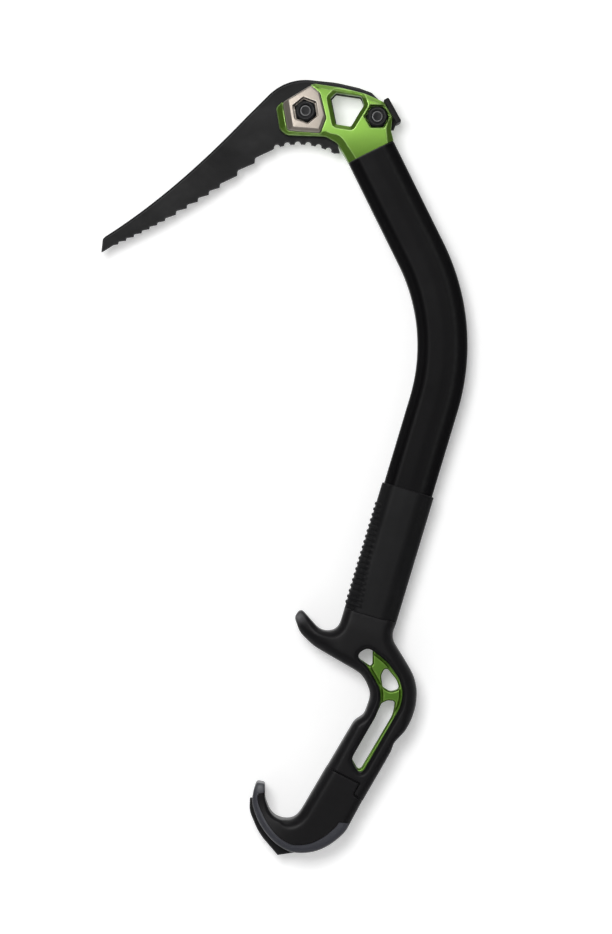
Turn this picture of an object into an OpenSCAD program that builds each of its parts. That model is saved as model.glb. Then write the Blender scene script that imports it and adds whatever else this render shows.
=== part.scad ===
// Ice climbing tool with a bent shaft, an offset handle, a bolted pick and removable head weights.
// Profiles are drawn as the tool is seen from its near side, and stood upright at the end of the file.
// The origin is the middle of the hand on the lower grip.

/* [Shaft] */
// Depth of the tube in the plane of the pick
shaft_w = 32; // [30:0.5:34]
// Thickness of the tube across that plane
shaft_t = 23; // [21:0.5:24]
// Wall of the tube
shaft_wall = 1.8; // [1.4:0.1:2.4]
// Width of the bevel beside the front of the tube
front_bevel = 5.5; // [4:0.5:7]
// Width of the bevel beside the back of the tube
back_bevel = 8; // [5:0.5:9]
// How far both bevels go down from the flat sides
bevel_drop = 5.5; // [4:0.5:7]
// Height of the crown on the flat sides
side_crown = 0.2; // [0.1:0.05:0.3]
// Straight length from the handle to the bend
lower_len = 141.5; // [120:0.5:170]
// Straight length from the bend to the head
upper_len = 73; // [60:0.5:95]
// How much the wall is drawn in on both faces above the bend
neck_draw = 0.05; // [0.03:0.01:0.08]
// Length over which the drawn wall starts inside the bend
neck_lap = 1; // [0.5:0.1:1.5]
// Radius of the bend on the centre line
bend_r = 132; // [110:1:160]
// Lean of the lower straight away from the pick
lower_lean = 16.7; // [12:0.1:20]
// Lean of the upper straight towards the pick
upper_lean = 26.3; // [20:0.1:32]

/* [Head] */
// Thickness of the forged head
head_t = 25; // [24:0.5:28]
// Bevel round the edge of the head
head_bevel = 2.4; // [1.5:0.1:3]
// Bevel at the nose of the head
nose_bevel = 4; // [2:0.1:5]
// Bevel round the window of the head
window_bevel = 2.6; // [1:0.1:3.2]
// Length of the tenon inside the shaft
head_tenon = 34; // [20:1:45]

/* [Pick] */
// Thickness of the pick plate
pick_t = 4; // [3:0.1:5]
// Small, middle and large teeth along the under edge
tooth_count = [6, 5, 3];
// Step of the small teeth
small_pitch = 5; // [4.6:0.05:5.2]
// Step of the middle teeth
middle_pitch = 7.05; // [6.6:0.05:7.3]
// Step of the large teeth
large_pitch = 11.25; // [10.5:0.05:11.4]
// Depth of the small teeth
small_tooth = 1.7; // [1:0.1:2]
// Depth of the middle teeth
middle_tooth = 2.5; // [1.5:0.1:3]
// Depth of the large teeth
large_tooth = 3.4; // [2:0.1:4]
// Number of round gaps under the head
gap_count = 6; // [3:1:6]
// Radius of a round gap
gap_r = 1.95; // [1.4:0.05:2.2]
// How far the pick shows inside the window of the head
window_lip = 0.7; // [0.3:0.1:1]

/* [Weights] */
// Thickness of one weight
weight_t = 10; // [9.5:0.5:12]
// Bevel round the outer face of a weight
weight_bevel = 2; // [1:0.1:2.5]
// Thickness of the cheek of the head between the pick and a weight
cheek_t = 3.9; // [3:0.1:5]

/* [Fasteners] */
// Thread diameter of the pick bolts
bolt_d = 8; // [6:0.5:8]
// Diameter of the bolt heads
bolt_head_d = 13; // [12:0.1:13.5]
// Height of the bolt heads
bolt_head_h = 5; // [4:0.1:5.5]
// Width across flats of the socket in the bolt heads
socket_af = 5; // [4:0.5:6]
// Depth of that socket
socket_depth = 3; // [2:0.1:3.5]
// Outside diameter of the washers
washer_d = 14; // [13.5:0.1:14.5]
// Thickness of the washers
washer_t = 1.6; // [1:0.1:2]
// Width across flats of the nuts
nut_af = 13; // [12.5:0.1:13.2]
// Height of the hexagon of the nuts
nut_h = 6.2; // [5:0.1:6.5]
// Diameter of the collar on the nuts
collar_d = 11.2; // [11:0.1:12]
// Height of that collar
collar_h = 1.3; // [1:0.1:1.5]
// Wall of the collar round the nylon ring
collar_wall = 0.7; // [0.5:0.1:0.9]
// How far the nylon ring lies below the collar
insert_drop = 0.2; // [0.1:0.1:0.4]
// How far a bolt ends below the top of its nut
bolt_drop = 0.6; // [0.3:0.1:0.9]
// Bevel at the end of a bolt
bolt_tip = 0.8; // [0.5:0.1:1]

/* [Hammer] */
// Length of the striking plate
hammer_len = 17.5; // [14:0.5:20]
// Width of the striking plate across the tool
hammer_w = 18; // [12:0.5:22]
// Thickness of the striking plate
hammer_face = 3.7; // [3:0.1:5]
// Slope of the striking plate
hammer_lean = 61; // [55:1:65]
// Outside radius of the eye on the rear bolt
eye_r = 8; // [7:0.1:8.2]

/* [Grip sleeve] */
// Length of the sleeve
sleeve_len = 84; // [70:1:110]
// Wall of the sleeve
sleeve_wall = 1.2; // [0.8:0.1:2]
// Number of ribs
rib_count = 19; // [8:1:22]
// Step of the ribs
rib_pitch = 3.65; // [3:0.05:3.7]
// Width of a rib
rib_w = 1.9; // [1:0.1:2.2]
// Height of a rib
rib_h = 0.8; // [0.4:0.1:1.2]
// Length of the lowest rib on the side of the grip
rib_reach = 8; // [5:0.5:10]
// Length of the highest rib there
rib_end = 3; // [2:0.5:5]
// Distance of the lowest rib from the handle
rib_start = 3; // [2:0.1:4]

/* [Handle] */
// Thickness of the moulded handle
handle_t = 27; // [25:0.5:30]
// Thickness of the forged core
core_t = 9; // [7:0.5:10]
// Length of the core's tenon inside the shaft
core_tenon = 45; // [40:1:60]
// Length of that tenon's foot inside the moulded handle
core_foot = 8; // [5:0.5:9]
// Diameter of the cross pins
pin_d = 6; // [4:0.5:8]
// Height of the lower pin above the end of the shaft
pin_low = 13; // [10:1:15]
// Distance between the pins
pin_step = 18; // [12:1:20]

/* [Pommel and spike] */
// Width of the bumper strip
bumper_w = 4.7; // [3.5:0.1:5.5]
// Thickness of the spike plate
spike_t = 4; // [3:0.1:5]
// Diameter of the rivets
rivet_d = 5; // [3:0.5:5.5]

/* [Fits] */
// Gap between glued or moulded pieces
fit = 0.1; // [0.05:0.01:0.15]
// Gap round a weight in its pocket
pocket_fit = 0.2; // [0.1:0.05:0.3]
// Gap on each side of the pick in its slot
slot_fit = 0.1; // [0.05:0.01:0.2]
// Gap where a bolt turns in its nut and on its washer
run_fit = 0.05; // [0.02:0.01:0.08]
// Gap round a bolt in its clearance holes
bolt_clear = 0.5; // [0.3:0.1:0.6]
// Gap round a nut in its recess
nut_clear = 0.7; // [0.2:0.1:0.8]
// Gap round a washer in its counterbore
sink_clear = 0.3; // [0.2:0.1:0.4]
// Gap round a bolt in its washer
washer_clear = 0.2; // [0.1:0.05:0.3]
// How far nuts and bolt heads lie below the surface
sink = 0.4; // [0.2:0.1:0.6]
// Gap of a pin or rivet in its hole
pin_fit = 0.02; // [0.01:0.01:0.04]
// Open line between the moulded pieces of the handle
parting = 0.2; // [0.1:0.05:0.3]

/* [Hidden] */
$fn = 48;
// Steps in a rounded corner of an outline and in the rounded edge of a moulding
corner_steps = 4;
edge_steps = 3;
// A length that reaches past everything in the cut it makes, and the thickness of a slice in a hull
far = 400;
skin = 0.01;

// The end of the shaft, where handle and sleeve meet, seen from the middle of the hand
foot = [1.6, 81.7];
bend = lower_lean + upper_lean;
// Angle between the shaft and the upright of the head, fixed by the forging
head_rake = 26.3;
sleeve_half = shaft_w / 2 + sleeve_wall;
// Radii of the section's corners from front to back
section_r = [4, 6, 0, 8, 4];

// Bolt places, seen from the middle of the joint between head and shaft
front_at = [-42.1, 25.5];
rear_at = [3.9, 22.1];
// Turn of each hexagonal recess
front_turn = 39;
rear_turn = 0;
// Half thicknesses: pick slot, seat of a weight, outer face of a weight, outer face of the head
slot_half = pick_t / 2 + slot_fit;
seat_half = slot_half + cheek_t;
weight_face = seat_half + weight_t;
head_face = head_t / 2;
nut_total = nut_h + collar_h;
bore_d = bolt_d + 2 * bolt_clear;
recess_depth = nut_total + sink;
sink_depth = bolt_head_h + washer_t + 2 * run_fit + sink;
sink_d = washer_d + 2 * sink_clear;
recess_af = nut_af + 2 * nut_clear;

// Outlines are lists of corners [x, y, radius, edge radius, flat], counter-clockwise.
// The side after a corner that is marked flat stays square: it is a cut end, with no rounded edge.
seam = shaft_w / 2 * [cos(head_rake), sin(head_rake)];
head_corners = [
    [-36.3, 43.3, 3, head_bevel], [-56.6, 31.2, 4, nose_bevel], [-60.9, 28.2, 4.5, nose_bevel],
    [-58.6, 13.8, 5, nose_bevel], [-53.9, 10.5, 5, nose_bevel], [-29.1, 9.6, 9, head_bevel],
    [-21.5, 5.3, 9, head_bevel], [-seam.x, -seam.y, 0, head_bevel, 1], [seam.x, seam.y, 0, head_bevel],
    [12.7, 13.3, 8, head_bevel], [13.6, 21.7, 5, head_bevel], [8, 31.5, 4, head_bevel],
    [-4.2, 36.9, 20, head_bevel], [-19.2, 40.6, 30, head_bevel]
];
window_corners = [
    [-22.5, 36.1, 1.5], [-25.8, 32.7, 1.5], [-22.7, 17.2, 1.5],
    [-12.9, 15.6, 1.5], [-4.9, 28.9, 1.5], [-6.8, 33.7, 1.5]
];
weight_corners = [
    [-38.6, 41.7, 1.5, weight_bevel], [-56.5, 30.9, 2.2, weight_bevel], [-53.6, 13.2, 2.2, weight_bevel],
    [-32.7, 11.5, 2.2, weight_bevel], [-29.1, 21, 2.5, weight_bevel], [-33, 36.8, 2.5, weight_bevel]
];
// The pocket of a weight runs out over the upper edge of the head
pocket_mouth = [[-38.6, 41.7], [-56.5, 30.9], [-66, 40], [-48, 54]];
// The slot for pick and hammer stands on the solid neck of the head
slot_corners = [
    [-80, -30], [-22.4, -30], [-21.4, 18], [-13, 18], [-9.5, 13.6], [30, 13.6], [30, 70], [-80, 70]
];

// Tooth points lie on a parabola that ends beside the row of round gaps: end, slope and curl
tooth_end = [-63.5, 1.526];
tooth_slope = 0.452;
tooth_curl = 0.00162;
tooth_row = tooth_count * [small_pitch, middle_pitch, large_pitch];
tooth_start = tooth_end - [tooth_row, tooth_slope * tooth_row + tooth_curl * tooth_row * tooth_row];
// How far the steep side of a tooth leans
tooth_hook = 0.3;
// Tip of the pick, beyond the first tooth
tip_corners = [[-9.9, 3.3, 0.6], [-10.8, -5.4, 0], [-3.1, -0.6, 0]];
// Upper edge of the pick as a curve from the tip to the hump
spine = [tooth_start + [-8.2, 5.1], tooth_start + [35.5, 32.6], [-80, 22.6]];
spine_steps = 10;
// Row of round gaps: centre of its arc, radius to the points between them, first and last gap
gap_arc = [-46.5, -42.8];
gap_row_r = 47.9;
gap_first = 106.8;
gap_last = 66.4;
// The edge between the gaps: lead before the first, tail after the last and step, in degrees
gap_lead = 2.5;
gap_tail = 5;
gap_edge_step = 3;

// Striking plate of the hammer: middle of its section, radius of its corners, share that its stem joins
hammer_at = [13.7, 26.1];
hammer_round = 0.8;
hammer_root = 0.8;

// Straight front and back of the lower grip, which handle and pommel share
front_line = [[-8.6, 14.2], [-47, -50.5]];
back_line = [[-17.5, -62], [15.8, -2.2]];
// Parting line between handle and pommel, from front to back
front_share = 0.455;
back_share = 0.418;
parting_line = [between(front_line, front_share), [-5.5, -25.7], [-9.3, -32.6], between(back_line, back_share)];
// The pommel's side of that line lies this far off, so that both legs of the step stay open
parting_way = [-1.35, -0.45];
parting_shift = parting * parting_way;
handle_corners = concat(
    [concat(shaft_point([-sleeve_half, 0]), [0, 6])],
    [[-19.3, 71.6, 7, 6], [-30.5, 71.6, 9, 4.5], [-43.3, 86, 2.2, 1.9], [-47.3, 80.5, 3, 2.6],
    [-43.8, 70.5, 10, 5], [-35, 62, 12, 6], [-3.5, 43.8, 14, 7], [2.2, 31, 10, 7], [-3, 17.6, 8, 7]],
    [concat(front_line[0], [8, 7])],
    [for (i = [0 : 3]) concat(parting_line[i], [0, i < 3 ? 7 : 5, i < 3 ? 1 : 0])],
    [concat(back_line[1], [12, 7]), [23.5, 8.3, 12, 7], [31.8, 29.5, 14, 8], [14.2, 66, 10, 7]],
    [concat(shaft_point([sleeve_half, 0]), [0, 6, 1])]);

// Outer edge of the lower hook, from its tip to the back of the grip
hook_tip = [[-66.3, -26], [-71.8, -25]];
tip_seam = between(hook_tip, 0.5);
bumper_end = 0.1;
hook_edge = [
    concat(hook_tip[1], [2.2, 1.6]), [-74.2, -36, 16, 2.8], [-64, -57, 40, 4], [-50, -71.2, 8, 4],
    [-33, -70.5, 14, 4], concat(back_line[0], [10, 4])
];
bumper_corners = concat(
    [concat(tip_seam, [0, 1.6])],
    hook_edge,
    [concat(between(back_line, bumper_end), [0, 3.6, 1])],
    bumper_seam(bumper_w, 0));
pommel_corners = concat(
    [concat(parting_line[0] + parting_shift, [0, 7])],
    [concat(front_line[1], [9, 6]), [-61.5, -48, 12, 1.5], [-66.3, -36, 12, 1.3], concat(hook_tip[0], [2, 1.2])],
    [concat(tip_seam + [parting, 0], [0, 1.2, 1])],
    reversed(bumper_seam(bumper_w + parting, parting)),
    [concat(between(back_line, bumper_end) + parting * unit(back_line[1] - back_line[0]), [0, 3.6])],
    [for (i = [3 : -1 : 1]) concat(parting_line[i] + parting_shift, [0, i < 3 ? 7 : 5, 1])]);
recess_corners = [
    [-9.3, 56, 3], [-0.9, 49.9, 5], [7.6, 35, 8], [8.1, 26.5, 10], [4.5, 16.7, 20], [-11.2, -10.6, 3],
    [-4.9, -21.2, 2], [20.6, 23.1, 12], [22.2, 32.1, 9], [19.9, 41.2, 12], [12.2, 51.8, 20], [0, 61.4, 3]
];
core_corners = [
    [-11, 84, 0], [-14, 60, 6], [-4.5, 46.4, 10], [4.2, 36, 8], [4.6, 27, 10], [1, 16, 20], [-18.5, -17, 15],
    [-29, -36, 4], [-24.5, -48.5, 4], [-13, -42.5, 4], [2.8, -20, 15], [24.5, 21, 12], [26.3, 32, 10],
    [23, 43.5, 12], [14.5, 56, 12], [10, 66, 8], [13.5, 77, 0]
];
// Windows of the core: a corner opening, a drop and a long slot
window_1 = [[-9.3, 56, 3], [-0.9, 49.9, 2.5], [3, 55, 3], [0.5, 61, 3]];
window_2 = [[11.2, 48.8, 3], [8, 43.2, 4], [9, 35.5, 5], [14.6, 31.6, 4], [20.4, 34, 3.4], [18.6, 40, 12]];
window_3 = [[8.3, 26, 7], [4.4, 15.6, 20], [-11.2, -10.6, 3], [-4.9, -21, 2], [17.6, 18.5, 20], [18.6, 25.2, 5],
    [13.4, 29, 6]];
spike_corners = [
    [-71.2, -35.6, 1], [-76, -35.8, 0.5], [-76.3, -44, 16], [-70.3, -58.4, 40], [-58.2, -72.6, 0],
    [-46, -70.8, 1], [-34, -57.5, 8], [-15.5, -41.5, 2], [-19, -33, 2], [-28.5, -38, 6], [-50, -58, 8],
    [-66, -47, 12]
];
// Rivets sit on the middle line of the tail
rivet_upper = [-20.2, -37.6];
rivet_lower = [-23.2, -42.6];

function unit(v) = v / norm(v);
// Point at share t of a line
function between(line, t) = (1 - t) * line[0] + t * line[1];
function reversed(list) = [for (i = [len(list) - 1 : -1 : 0]) list[i]];
function xy(p) = [p.x, p.y];
function turned(p, a) = [p.x * cos(a) - p.y * sin(a), p.x * sin(a) + p.y * cos(a)];
// A point beside and along the lower straight, seen from the middle of the hand
function shaft_point(p) = foot + turned(p, -lower_lean);
// Point of a quadratic curve c at t
function curve(c, t) = (1 - t) * (1 - t) * c[0] + 2 * t * (1 - t) * c[1] + t * t * c[2];

// Arc of corner c between neighbours p and q, as long as half of the shorter side allows
function corner(p, c, q, steps) =
    let (a = unit(xy(p) - xy(c)), b = unit(xy(q) - xy(c)), half = acos(a * b) / 2)
    let (room = 0.49 * min(norm(xy(p) - xy(c)), norm(xy(q) - xy(c))))
    let (reach = min(c[2] / tan(half), room), r = reach * tan(half))
    let (mid = xy(c) + unit(a + b) * r / sin(half), s = xy(c) + a * reach - mid)
    let (turn = sign(cross(b, a)) * (180 - 2 * half))
    [for (i = [0 : steps]) mid + turned(s, turn * i / steps)];
// Outline of a list of corners
function outline(c, steps = corner_steps) =
    [for (i = [0 : len(c) - 1])
        each c[i][2] > 0
            ? corner(c[(i + len(c) - 1) % len(c)], c[i], c[(i + 1) % len(c)], steps)
            : [xy(c[i])]];
// Edge radius at each point of that outline
function softness(c, steps = corner_steps) =
    [for (p = c) each [for (i = [0 : p[2] > 0 ? steps : 0]) p[3]]];
// Side after each point of that outline is flat
function flatness(c, steps = corner_steps) =
    [for (p = c) each [for (i = [0 : p[2] > 0 ? steps : 0]) p[4] == 1]];
// Outline moved inwards by its own distance at each point, while flat sides stay where they are
function inset(p, d, flat) =
    [for (i = [0 : len(p) - 1])
        let (h = (i + len(p) - 1) % len(p), a = unit(p[i] - p[h]), b = unit(p[(i + 1) % len(p)] - p[i]))
        let (m = [-a.y, a.x], n = [-b.y, b.x])
        flat[h] && flat[i] ? p[i]
            : flat[h] ? p[i] - d[i] * a / cross(a, b)
            : flat[i] ? p[i] + d[i] * b / cross(a, b)
            : p[i] + d[i] * (m + n) / (1 + m * n)];
// Inner edge of the bumper, from the back of the grip to the tip of the hook
function bumper_seam(width, lift) =
    let (line = concat([hook_tip[0]], hook_edge, [between(back_line, bumper_end)]))
    let (inner = inset([for (p = line) xy(p)], [for (p = line) width], [for (p = line) false]))
    let (side = unit(back_line[1] - back_line[0]))
    concat([concat(between(back_line, bumper_end) + width * [-side.y, side.x] + lift * side, [1, 4, 1])],
        [for (i = [6 : -1 : 2]) concat(inner[i], [hook_edge[i - 1][2], 4, 1])]);

// Corner i of the ring of point numbers is convex and no other point lies in its triangle
function is_ear(p, ring, i) =
    let (n = len(ring), a = p[ring[(i + n - 1) % n]], b = p[ring[i]], c = p[ring[(i + 1) % n]])
    cross(b - a, c - b) > 0 && len([for (j = ring)
        let (q = p[j])
        if (cross(b - a, q - a) > 0 && cross(c - b, q - b) > 0 && cross(a - c, q - c) > 0) j]) == 0;
// Triangles that fill an outline: the ear with the shortest base is taken off until three points are left
function triangles(p, ring) =
    let (n = len(ring))
    n < 4 ? [ring] :
        let (bases = [for (i = [0 : n - 1])
            is_ear(p, ring, i) ? norm(p[ring[(i + 1) % n]] - p[ring[(i + n - 1) % n]]) : far])
        let (k = search(min(bases), bases)[0])
        concat([[ring[(k + n - 1) % n], ring[k], ring[(k + 1) % n]]],
            triangles(p, [for (i = [0 : n - 1]) if (i != k) ring[i]]));

// Plate with rounded edges between bottom and top. One step makes a bevel, and under = 0 keeps a sharp bottom.
module soft_plate(c, bottom, top, steps, under = 1) {
    p = outline(c);
    e = softness(c);
    flat = flatness(c);
    n = len(p);
    low = under > 0 ? [for (j = [0 : steps]) [-1, 90 - 90 * j / steps]] : [[-1, 0]];
    rings = concat(low, [for (j = [0 : steps]) [1, 90 * j / steps]]);
    pts = [for (g = rings)
        let (q = inset(p, [for (r = e) r * (1 - cos(g[1]))], flat))
        each [for (i = [0 : n - 1])
            let (rest = e[i] * (1 - sin(g[1])) * (g[0] < 0 ? under : 1))
            [q[i].x, q[i].y, g[0] < 0 ? bottom + rest : top - rest]]];
    last = (len(rings) - 1) * n;
    floor = triangles([for (i = [0 : n - 1]) xy(pts[i])], [for (i = [0 : n - 1]) i]);
    lid = triangles([for (i = [0 : n - 1]) xy(pts[last + i])], [for (i = [0 : n - 1]) i]);
    sides = [for (j = [0 : len(rings) - 2]) for (i = [0 : n - 1])
        let (k = (i + 1) % n)
        each [[j * n + i, (j + 1) * n + i, (j + 1) * n + k], [j * n + i, (j + 1) * n + k, j * n + k]]];
    faces = concat(floor, sides, [for (f = lid) [last + f[2], last + f[1], last + f[0]]]);
    polyhedron(pts, faces, convexity = 10);
}

// Extrusion that is centred on the middle plane of the tool
module slab(t) {
    translate([0, 0, -t / 2]) linear_extrude(t) children();
}
module hexagon(af, h) {
    cylinder(d = af / cos(30), h = h, $fn = 6);
}
// Frames of the lower straight, of the end of the bend and of the head
module at_shaft() {
    translate(foot) rotate(-lower_lean) children();
}
module at_bend_end() {
    at_shaft() translate([-bend_r, lower_len]) rotate(bend) translate([bend_r, 0]) children();
}
module at_head() {
    at_bend_end() translate([0, upper_len]) rotate(-head_rake) children();
}
// Lays a section along the shaft
module run(length) {
    rotate([-90, 0, 0]) linear_extrude(length) children();
}
// Stands the drawing upright: what is drawn towards the viewer faces -Y
module upright() {
    rotate([90, 0, 0]) children();
}

// Section of the tube, x towards the back, grown by a distance
module shaft_section(grow) {
    w = shaft_w / 2;
    t = shaft_t / 2;
    half = [[-w, bevel_drop - t], [front_bevel - w, -t], [0, -t - side_crown], [w - back_bevel, -t],
        [w, bevel_drop - t]];
    corners = concat(half, [for (p = reversed(half)) [p.x, -p.y]]);
    radii = concat(section_r, reversed(section_r));
    grown = inset(corners, [for (c = corners) -grow], [for (c = corners) false]);
    polygon(outline([for (i = [0 : 9]) concat(grown[i], radii[i] > 0 ? radii[i] + grow : 0)]));
}

module pick_flat() {
    steps = [for (g = [0 : 2]) for (i = [1 : tooth_count[g]]) g];
    pitch = [small_pitch, middle_pitch, large_pitch];
    depth = [small_tooth, middle_tooth, large_tooth];
    offsets = [for (i = 0, s = 0; i <= len(steps); s = s + (i < len(steps) ? pitch[steps[i]] : 0), i = i + 1) s];
    tips = [for (s = offsets) tooth_start + [s, tooth_slope * s + tooth_curl * s * s]];
    teeth = [for (i = [0 : len(tips) - 1])
        let (d = depth[steps[max(0, i - 1)]])
        each i < len(tips) - 1 ? [concat(tips[i], 0), concat(tips[i] + [tooth_hook, d], d / 2)] : [concat(tips[i], 0)]];
    gap_edge = [for (a = [gap_first + gap_lead : -gap_edge_step : gap_last - gap_tail])
        concat(gap_arc + gap_row_r * [cos(a), sin(a)], 0)];
    top = [for (i = [spine_steps : -1 : 0]) concat(curve(spine, i / spine_steps), 0)];
    rear = [
        [-22.8, 3, 0], [-21.9, 17, 0.5], [-13, 17, 0], [-7, 28, 0], [-5, 31, 0.5], [6.2, 31, 0.3], [6.6, 32.2, 0.5],
        [0.5, 38.3, 4], [-7.5, 41.3, 12], [-22, 44.7, 60], [-54.3, 48.1, 35]
    ];
    tip = [for (c = tip_corners) concat(tooth_start + xy(c), c[2])];
    difference() {
        polygon(outline(concat(rear, top, tip, teeth, gap_edge)));
        offset(delta = -window_lip) polygon(outline(window_corners));
    }
}
module pick() {
    gap_step = gap_count > 1 ? (gap_first - gap_last) / (gap_count - 1) : 0;
    color("dimgray") difference() {
        slab(pick_t) pick_flat();
        translate(front_at) cylinder(d = bore_d, h = far, center = true);
        for (i = [0 : gap_count - 1])
            translate(gap_arc + gap_row_r * [cos(gap_first - i * gap_step), sin(gap_first - i * gap_step)])
                cylinder(r = gap_r, h = far, center = true);
        slab(far) offset(delta = pocket_fit) hammer_stem();
    }
}

module hammer_stem() {
    translate(rear_at) circle(r = eye_r);
    along = turned([hammer_len / 2, 0], -hammer_lean);
    polygon([[-6.4, 27.2], [-10.7, 20], rear_at - [6, 7], rear_at - [0, eye_r], [14.6, rear_at.y - eye_r],
        hammer_at + hammer_root * along, hammer_at - hammer_root * along, rear_at + [0, eye_r]]);
}
module micro_hammer() {
    color("dimgray") difference() {
        union() {
            slab(pick_t) hammer_stem();
            slab(hammer_w) translate(hammer_at) rotate(-hammer_lean)
                polygon(outline([for (s = [[-1, -1], [1, -1], [1, 1], [-1, 1]])
                    [s.x * hammer_len / 2, s.y * hammer_face / 2, hammer_round]]));
        }
        translate(rear_at) cylinder(d = bore_d, h = far, center = true);
    }
}

// What both cheeks of the head lose on the side that faces the viewer (side = 1) or away from it (side = -1)
module cheek_cuts(side) {
    scale([1, 1, side]) {
        translate([0, 0, seat_half]) linear_extrude(far) {
            offset(delta = pocket_fit) polygon(outline(weight_corners));
            polygon(pocket_mouth);
        }
        hull() {
            translate([0, 0, head_face - window_bevel]) linear_extrude(skin) polygon(outline(window_corners));
            translate([0, 0, head_face]) linear_extrude(skin)
                offset(delta = window_bevel) polygon(outline(window_corners));
        }
    }
}
module head_forging() {
    color("yellowgreen") difference() {
        union() {
            soft_plate(head_corners, -head_face, head_face, 1);
            rotate(head_rake) translate([0, -head_tenon]) run(head_tenon + 2)
                shaft_section(-shaft_wall - fit);
        }
        slab(2 * slot_half) polygon(slot_corners);
        slab(far) polygon(outline(window_corners));
        for (side = [1, -1]) cheek_cuts(side);
        for (at = [front_at, rear_at]) translate(at) cylinder(d = bore_d, h = far, center = true);
        translate(concat(rear_at, head_face - recess_depth)) rotate(rear_turn) hexagon(recess_af, far);
        translate(concat(rear_at, -far - head_face + sink_depth)) cylinder(d = sink_d, h = far);
    }
}

module weight_body() {
    difference() {
        soft_plate(weight_corners, seat_half, weight_face, 1, 0);
        translate(front_at) cylinder(d = bore_d, h = far, center = true);
    }
}
module pick_weight_near() {
    color("silver") difference() {
        weight_body();
        translate(concat(front_at, weight_face - recess_depth)) rotate(front_turn) hexagon(recess_af, far);
    }
}
module pick_weight_far() {
    color("silver") difference() {
        mirror([0, 0, 1]) weight_body();
        translate(concat(front_at, -far - weight_face + sink_depth)) cylinder(d = sink_d, h = far);
    }
}

// Lock nut in a recess below the near face, with its hexagon turned as the recess
module lock_nut(at, face, turn) {
    color("dimgray") translate(concat(at, face - recess_depth)) difference() {
        union() {
            rotate(turn) hexagon(nut_af, nut_h);
            cylinder(d = collar_d, h = nut_total);
        }
        cylinder(d = bolt_d + 2 * run_fit, h = far, center = true);
        translate([0, 0, nut_h]) cylinder(d = collar_d - 2 * collar_wall, h = far);
    }
}
module nut_insert(at, face) {
    color("gray") translate(concat(at, face - recess_depth + nut_h)) difference() {
        cylinder(d = collar_d - 2 * collar_wall - 2 * pin_fit, h = collar_h - insert_drop);
        cylinder(d = bolt_d + 2 * run_fit, h = far, center = true);
    }
}
module washer(at, face) {
    color("gray") translate(concat(at, sink_depth - face - run_fit - washer_t)) difference() {
        cylinder(d = washer_d, h = washer_t);
        cylinder(d = bolt_d + 2 * washer_clear, h = far, center = true);
    }
}
// Socket-head bolt from the far face to just below the top of its nut
module bolt(at, face) {
    end = face - sink - bolt_drop;
    under = sink + bolt_head_h - face;
    color("dimgray") translate(at) difference() {
        union() {
            translate([0, 0, sink - face]) cylinder(d = bolt_head_d, h = bolt_head_h);
            translate([0, 0, under]) cylinder(d = bolt_d, h = end - bolt_tip - under);
            translate([0, 0, end - bolt_tip]) cylinder(d1 = bolt_d, d2 = bolt_d - 2 * bolt_tip, h = bolt_tip);
        }
        translate([0, 0, sink - face - far]) rotate(30) hexagon(socket_af, far + socket_depth);
    }
}

module shaft() {
    color("black") difference() {
        union() {
            at_shaft() run(lower_len) shaft_wall_section(0);
            at_shaft() translate([-bend_r, lower_len]) rotate_extrude(angle = bend)
                translate([bend_r, 0]) shaft_wall_section(0);
            at_bend_end() translate([0, -neck_lap]) run(neck_lap + upper_len) shaft_wall_section(neck_draw);
        }
        handle_pin_holes(pin_fit);
    }
}
module shaft_wall_section(draw) {
    difference() {
        shaft_section(-draw);
        shaft_section(draw - shaft_wall);
    }
}
// Cross pins through the lower end of the shaft
module cross_pin(v, grow) {
    at_shaft() translate([0, v, grow - shaft_t / 2]) cylinder(r = pin_d / 2 + grow, h = shaft_t - 2 * grow);
}
module handle_pin_holes(grow) {
    for (v = [pin_low, pin_low + pin_step])
        at_shaft() translate([0, v]) cylinder(r = pin_d / 2 + grow, h = far, center = true);
}
module handle_pin_lower() {
    color("silver") cross_pin(pin_low, 0);
}
module handle_pin_upper() {
    color("silver") cross_pin(pin_low + pin_step, 0);
}

module grip_sleeve() {
    color("black") at_shaft() {
        run(sleeve_len) sleeve_section(sleeve_wall);
        for (i = [0 : rib_count - 1])
            translate([0, rib_start + rib_pitch * i]) run(rib_w) intersection() {
                sleeve_section(sleeve_wall + rib_h);
                reach = rib_reach - (rib_reach - rib_end) * i / (rib_count - 1);
                translate([-shaft_w, -shaft_w]) square([shaft_w / 2 + reach, 2 * shaft_w]);
            }
    }
}
module sleeve_section(grow) {
    difference() {
        shaft_section(grow);
        shaft_section(fit);
    }
}

// Solid of the core before its windows, grown for the cavity round it
module core_body(grow) {
    slab(core_t + 2 * grow) offset(delta = grow) polygon(outline(core_corners));
    at_shaft() translate([0, -core_foot - grow]) run(core_foot + core_tenon + grow) shaft_section(-shaft_wall - fit + grow);
}
module spike_flat(grow) {
    offset(delta = grow) polygon(outline(spike_corners));
}
module rivet_holes(grow) {
    for (at = [rivet_upper, rivet_lower]) translate(at) cylinder(d = rivet_d + 2 * grow, h = far, center = true);
}
module handle_core() {
    color("yellowgreen") difference() {
        core_body(0);
        for (w = [window_1, window_2, window_3]) slab(far) polygon(outline(w));
        slab(spike_t + 2 * fit) spike_flat(fit);
        handle_pin_holes(pin_fit);
        rivet_holes(pin_fit);
    }
}

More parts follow.
